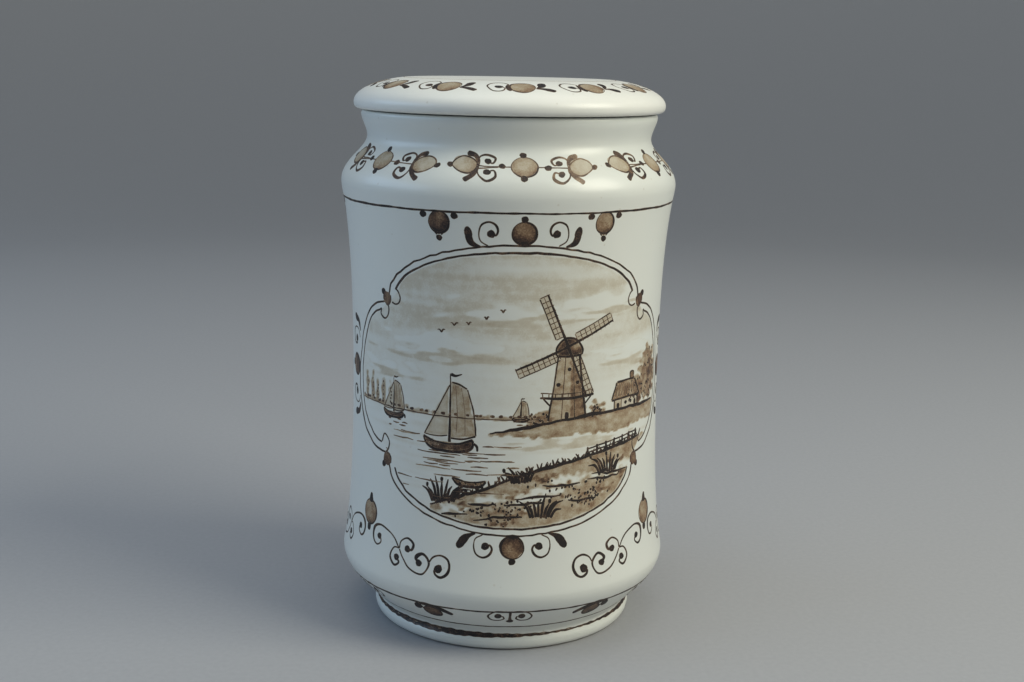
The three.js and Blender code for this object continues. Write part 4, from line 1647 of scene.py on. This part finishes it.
def draw_clods(picture, top, x_from, x_to, count, tint=0.50):
    """Pale gaps and darker touches that shape the ground, laid along its slope."""
    for i in range(count):
        x = x_from + (x_to - x_from) * (i + hand.uniform(0, 1)) / count
        drop = hand.uniform(2.5, 15.0)
        slope = (top(x + 1) - top(x - 1)) / 2 * hand.uniform(0.5, 1.1)
        pale = i % 2 == 0
        wide = hand.uniform(7, 15) if pale else hand.uniform(4, 8)
        fat = 1.9 if pale else 1.0
        y = top(x) - drop
        left, right = (x - wide, y - slope * wide), (x + wide, y + slope * wide)
        upper = [(x - 0.4 * wide, y + fat), (x + 0.5 * wide, y + 0.8 * fat)]
        lower = [(x + 0.3 * wide, y - 0.8 * fat), (x - 0.5 * wide, y - fat)]
        picture.wash([left, *upper, right, *lower], 0.015 if pale else tint, 0.10, 0.3, 0.5)
        if pale:
            edge = [left, (x - 0.3 * wide, y - fat), (x + 0.4 * wide, y - 0.9 * fat)]
            picture.ink(edge, (0.25, 0.8, 0.35), 0.9, 0.2)
        for _ in range(4):
            step = hand.uniform(-1, 1) * wide
            length, lean = hand.uniform(0.8, 1.6), hand.uniform(50, 110)
            picture.dab(x + step, y + slope * step - fat - 0.6, length, lean, 0.6, 0.9)


def draw_fence(picture, top, x_from, x_to, posts):
    """Posts and two rails along a ground line."""
    feet = np.linspace(x_from, x_to, posts)
    for foot in feet:
        lean = hand.uniform(-0.3, 0.3)
        picture.ink([(foot, top(foot) - 0.6), (foot + lean, top(foot) + 3.4)], (0.8, 0.6), 0.92)
    for lift in (1.3, 2.6):
        picture.ink([(foot, top(foot) + lift) for foot in feet], 0.4, 0.86)


def slope_through(*points):
    """A smooth ground line through points, as a function of x."""
    path, _ = through(points)
    order = np.argsort(path[:, 0])
    return lambda x: np.interp(x, path[order, 0], path[order, 1])


# %% Front scene
front = Picture(horizon=-9.0)
front.clouds(((-24, 15, 20, 4.5), (-4, 27, 17, 3.5), (36, 30, 17, 4.0), (48, 11, 14, 3.5), (-50, 5, 12, 2.5)))
draw_far_shore(front, -67, 8, 26)
draw_poplars(front, -62, -8.8, 5, 8.5)
draw_barge(front, 1.5, -9.8, 5.2)
draw_barge(front, -46, -12.6, 9.5)
dyke = slope_through((-9, -14.2), (0, -12.6), (12, -10.6), (26, -9.2), (44, -9.2), (60, -9.6), (70, -10))
shore = [(70, -16.5), (52, -15.2), (38, -16.6), (24, -15.2), (10, -16.0), (0, -15.0), (-9, -14.6)]
draw_bank(front, dyke, -9, 70, 0.30, shore)
draw_foliage(front, 58.5, 0.5, 6.6, 9.5, 70)
draw_foliage(front, 49.0, -3.6, 5.0, 4.6, 34)
draw_cottage(front, 44, -9.2, 14)
draw_windmill(front, 18, -10.2, 26)
draw_foliage(front, 7.6, -9.0, 3.2, 2.2, 22)
draw_foliage(front, 29.0, -8.0, 3.0, 2.2, 18)
draw_ripples(front, -34, -17.0, 52, 9, 2.6)
draw_ripples(front, -8, -19.0, 30, 5, 2.4)
front.pool(20, -18.4, 17, 1.5, 0.11, 0.02, 0.7, 0.7, (16, 2.5))
draw_barge(front, -23, -21.0, 17.5)
near_bank = slope_through(
    (-32, -41.5), (-22, -38.0), (-8, -32.6), (6, -27.6), (24, -24.0), (44, -21.5), (70, -20)
)
draw_bank(front, near_bank, -30, 60, 0.31)
draw_clods(front, near_bank, -20, 48, 18)
draw_fence(front, near_bank, 26, 50, 7)
draw_grass(front, near_bank, -28, 52)
draw_rowing_boat(front, -15.5, -33.0, 12)
draw_reeds(front, -25.0, -39.5, 10.5, 10, 5, 3)
draw_reeds(front, 2.0, -31.5, 8.0, 8, -10)
draw_reeds(front, 9.0, -44.0, 9.5, 9, 10)
draw_reeds(front, 35.0, -31.0, 9.5, 9, -6, 3)
draw_foliage(front, -7.0, -41.5, 8.5, 3.0, 46, 0.26, 0.95)
draw_foliage(front, 24.5, -37.5, 6.5, 3.4, 40, 0.26, 0.95)
draw_birds(front, -26, 21, 5)
picture_piece("front_picture", front, FRONT)

# %% Back scene
back = Picture(horizon=-6.0)
back.clouds(((-30, 23, 19, 4.5), (8, 31, 20, 4.0), (40, 15, 17, 4.0), (2, 10, 15, 3.0)))
draw_far_shore(back, -67, 67, 44)
draw_poplars(back, 30, -5.8, 6, 8.0)
draw_windmill(back, -38, -6.4, 13, 40)
draw_cottage(back, -27, -6.0, 8)
draw_barge(back, 44, -11.5, 9.5)
draw_barge(back, -14, -10.0, 7.5)
draw_ripples(back, 0, -14.0, 84, 12, 2.5)
draw_barge(back, 13, -24.0, 22)
spit = slope_through((-66, -21.0), (-46, -24.0), (-28, -31.0), (-8, -38.5), (12, -43.5), (30, -46.5))
draw_bank(back, spit, -66, 30, 0.36)
draw_clods(back, spit, -50, 6, 14)
draw_grass(back, spit, -52, 16)
draw_tree(back, -44, -25.0, 26, 9.0, 30)
draw_reeds(back, -22, -37.0, 9.0, 9, -8, 3)
draw_reeds(back, 1, -43.0, 7.5, 8, 8)
draw_birds(back, 6, 17, 5)
picture_piece("back_picture", back, BACK)

# %% Garlands in the corners
GARLAND_RUN = 47.5
GARLAND_ANGLES = ((-58.6, 1), (57.4, -1), (122.0, 1), (-122.0, -1))


garlands = [(angle, put(garland(long_arm), 0, GARLAND_RUN)) for angle, long_arm in GARLAND_ANGLES]
paint("garlands", sorted(garlands, key=lambda placed: placed[0]), jar_sheet, rows=3)

# %% [markdown]
# ## Round the foot
# Under the belly a line, a sparse row of berries and double scrolls, and another line lie
# where the wall draws in; then comes the dry brown band just above the plain foot ring.

# %% Foot band
FOOT_UPPER_LINE, FOOT_LOWER_LINE, FOOT_BROWN_BAND = 19.0, 10.2, 5.6
FOOT_ROW_RUN = 16.6
FOOT_SCROLL_ANGLE = -0.9
FOOT_BERRY_ANGLE = 30.6


def foot_berry():
    """A berry with a stroke over it that points right; all fat, because this wall is seen aslant."""
    marks = berry(0.2, -0.9, 3.3, 3.2, 0.62, 0.9, -120, (0.0, -0.1), 0.95)
    marks += blot(-5.2, 1.0, 1.5, 2.0, 0.96, turn=-20, layer="ink")
    marks += line([(-4.4, 2.9), (-3.6, 0.6), (-3.0, -1.0)], (1.0, 0.8, 0.5), 0.88)
    marks += line([(-4.6, 3.0), (-1.0, 2.9), (3.6, 1.6), (7.8, -1.2)], (1.2, 2.1, 2.1, 2.4, 2.2), 0.97)
    return marks


def double_scroll():
    """Two loops with beads, back to back on a short bar."""
    marks = line([(0.1, 3.3), (0.0, 0.0), (0.1, -3.4)], (1.1, 0.8, 1.3), 0.9) + bead(0.1, -3.6, 1.2)
    for side in (-1, 1):
        loop = [(0.3, 2.6), (2.4, 3.3), (5.4, 2.9), (7.5, 0.2), (6.2, -2.6), (3.8, -3.1), (2.1, -1.6)]
        loop += [(2.6, 0.5)]
        marks += line([(side * x, y) for x, y in loop], (0.5, 0.65, 0.7, 0.7, 0.55), 0.9)
        marks += blot(side * 4.1, 0.25, 1.2, 1.6, 0.95, layer="ink")
    return marks


placed = hoop(jar_sheet, jar_sheet.run_at(FOOT_UPPER_LINE), 0.85, 0.98, 0.12)
placed += hoop(jar_sheet, jar_sheet.run_at(FOOT_LOWER_LINE), 0.75, 0.98)
placed += dry_band(jar_sheet, jar_sheet.run_at(FOOT_BROWN_BAND), 0.85, 4)
for sixth in range(6):
    turn = 60 * sixth - 180
    placed.append((turn + FOOT_SCROLL_ANGLE, put(double_scroll(), 0, FOOT_ROW_RUN + 0.3)))
    placed.append((turn + FOOT_BERRY_ANGLE, put(foot_berry(), 0, FOOT_ROW_RUN, mirror=sixth % 2 == 1)))
paint("foot_lines_and_scrolls", placed, jar_sheet, rows=4)

# %% [markdown]
# ## Round the lid
# Twelve equal motifs follow each other round the sloping part of the lid, all leaning the
# same way: a berry with a curl behind it and two leaves before it.

# %% Lid border
LID_BORDER_RUN = 11.5
LID_MOTIFS = 12
LID_BORDER_TURN = 0.9
LID_HOOP_RUN = LID_BORDER_RUN + 9.6


def lid_motif():
    """Leads to the right, its curl trailing on the left; up is towards the middle."""
    marks = berry(0, 0, 4.2, 4.3, 0.29, 0.6, 160, (0.07, -0.06), 0.85)
    marks += leaf((-4.3, 3.2), (-5.0, 0.0), (-4.2, -2.7), 1.6, 0.9)
    path = [(-4.2, 2.8), (-6.2, 4.5), (-9.2, 4.1), (-11.5, 0.6), (-9.6, -3.2), (-6.6, -3.0), (-5.8, -1.0)]
    marks += curl(path + [(-7.7, 0.1)], 1.3, (0.45, 0.5, 0.5, 0.55, 0.45, 0.4), 0.86)
    marks += leaf((4.6, -0.8), (6.3, 1.0), (6.6, 3.8), 2.6, 0.86)
    return marks + line([(4.3, -1.0), (7.4, -1.6), (11.0, -3.3)], (1.0, 1.3, 2.0, 1.7), 0.88)


placed = []
for i in range(LID_MOTIFS):
    angle = 360 / LID_MOTIFS * i - 180 + LID_BORDER_TURN
    placed.append((angle, put(lid_motif(), 0, LID_BORDER_RUN)))
placed += hoop(lid_sheet, LID_HOOP_RUN, 0.3, 0.55, 0.15)
paint("lid_border", placed, lid_sheet, rows=3)
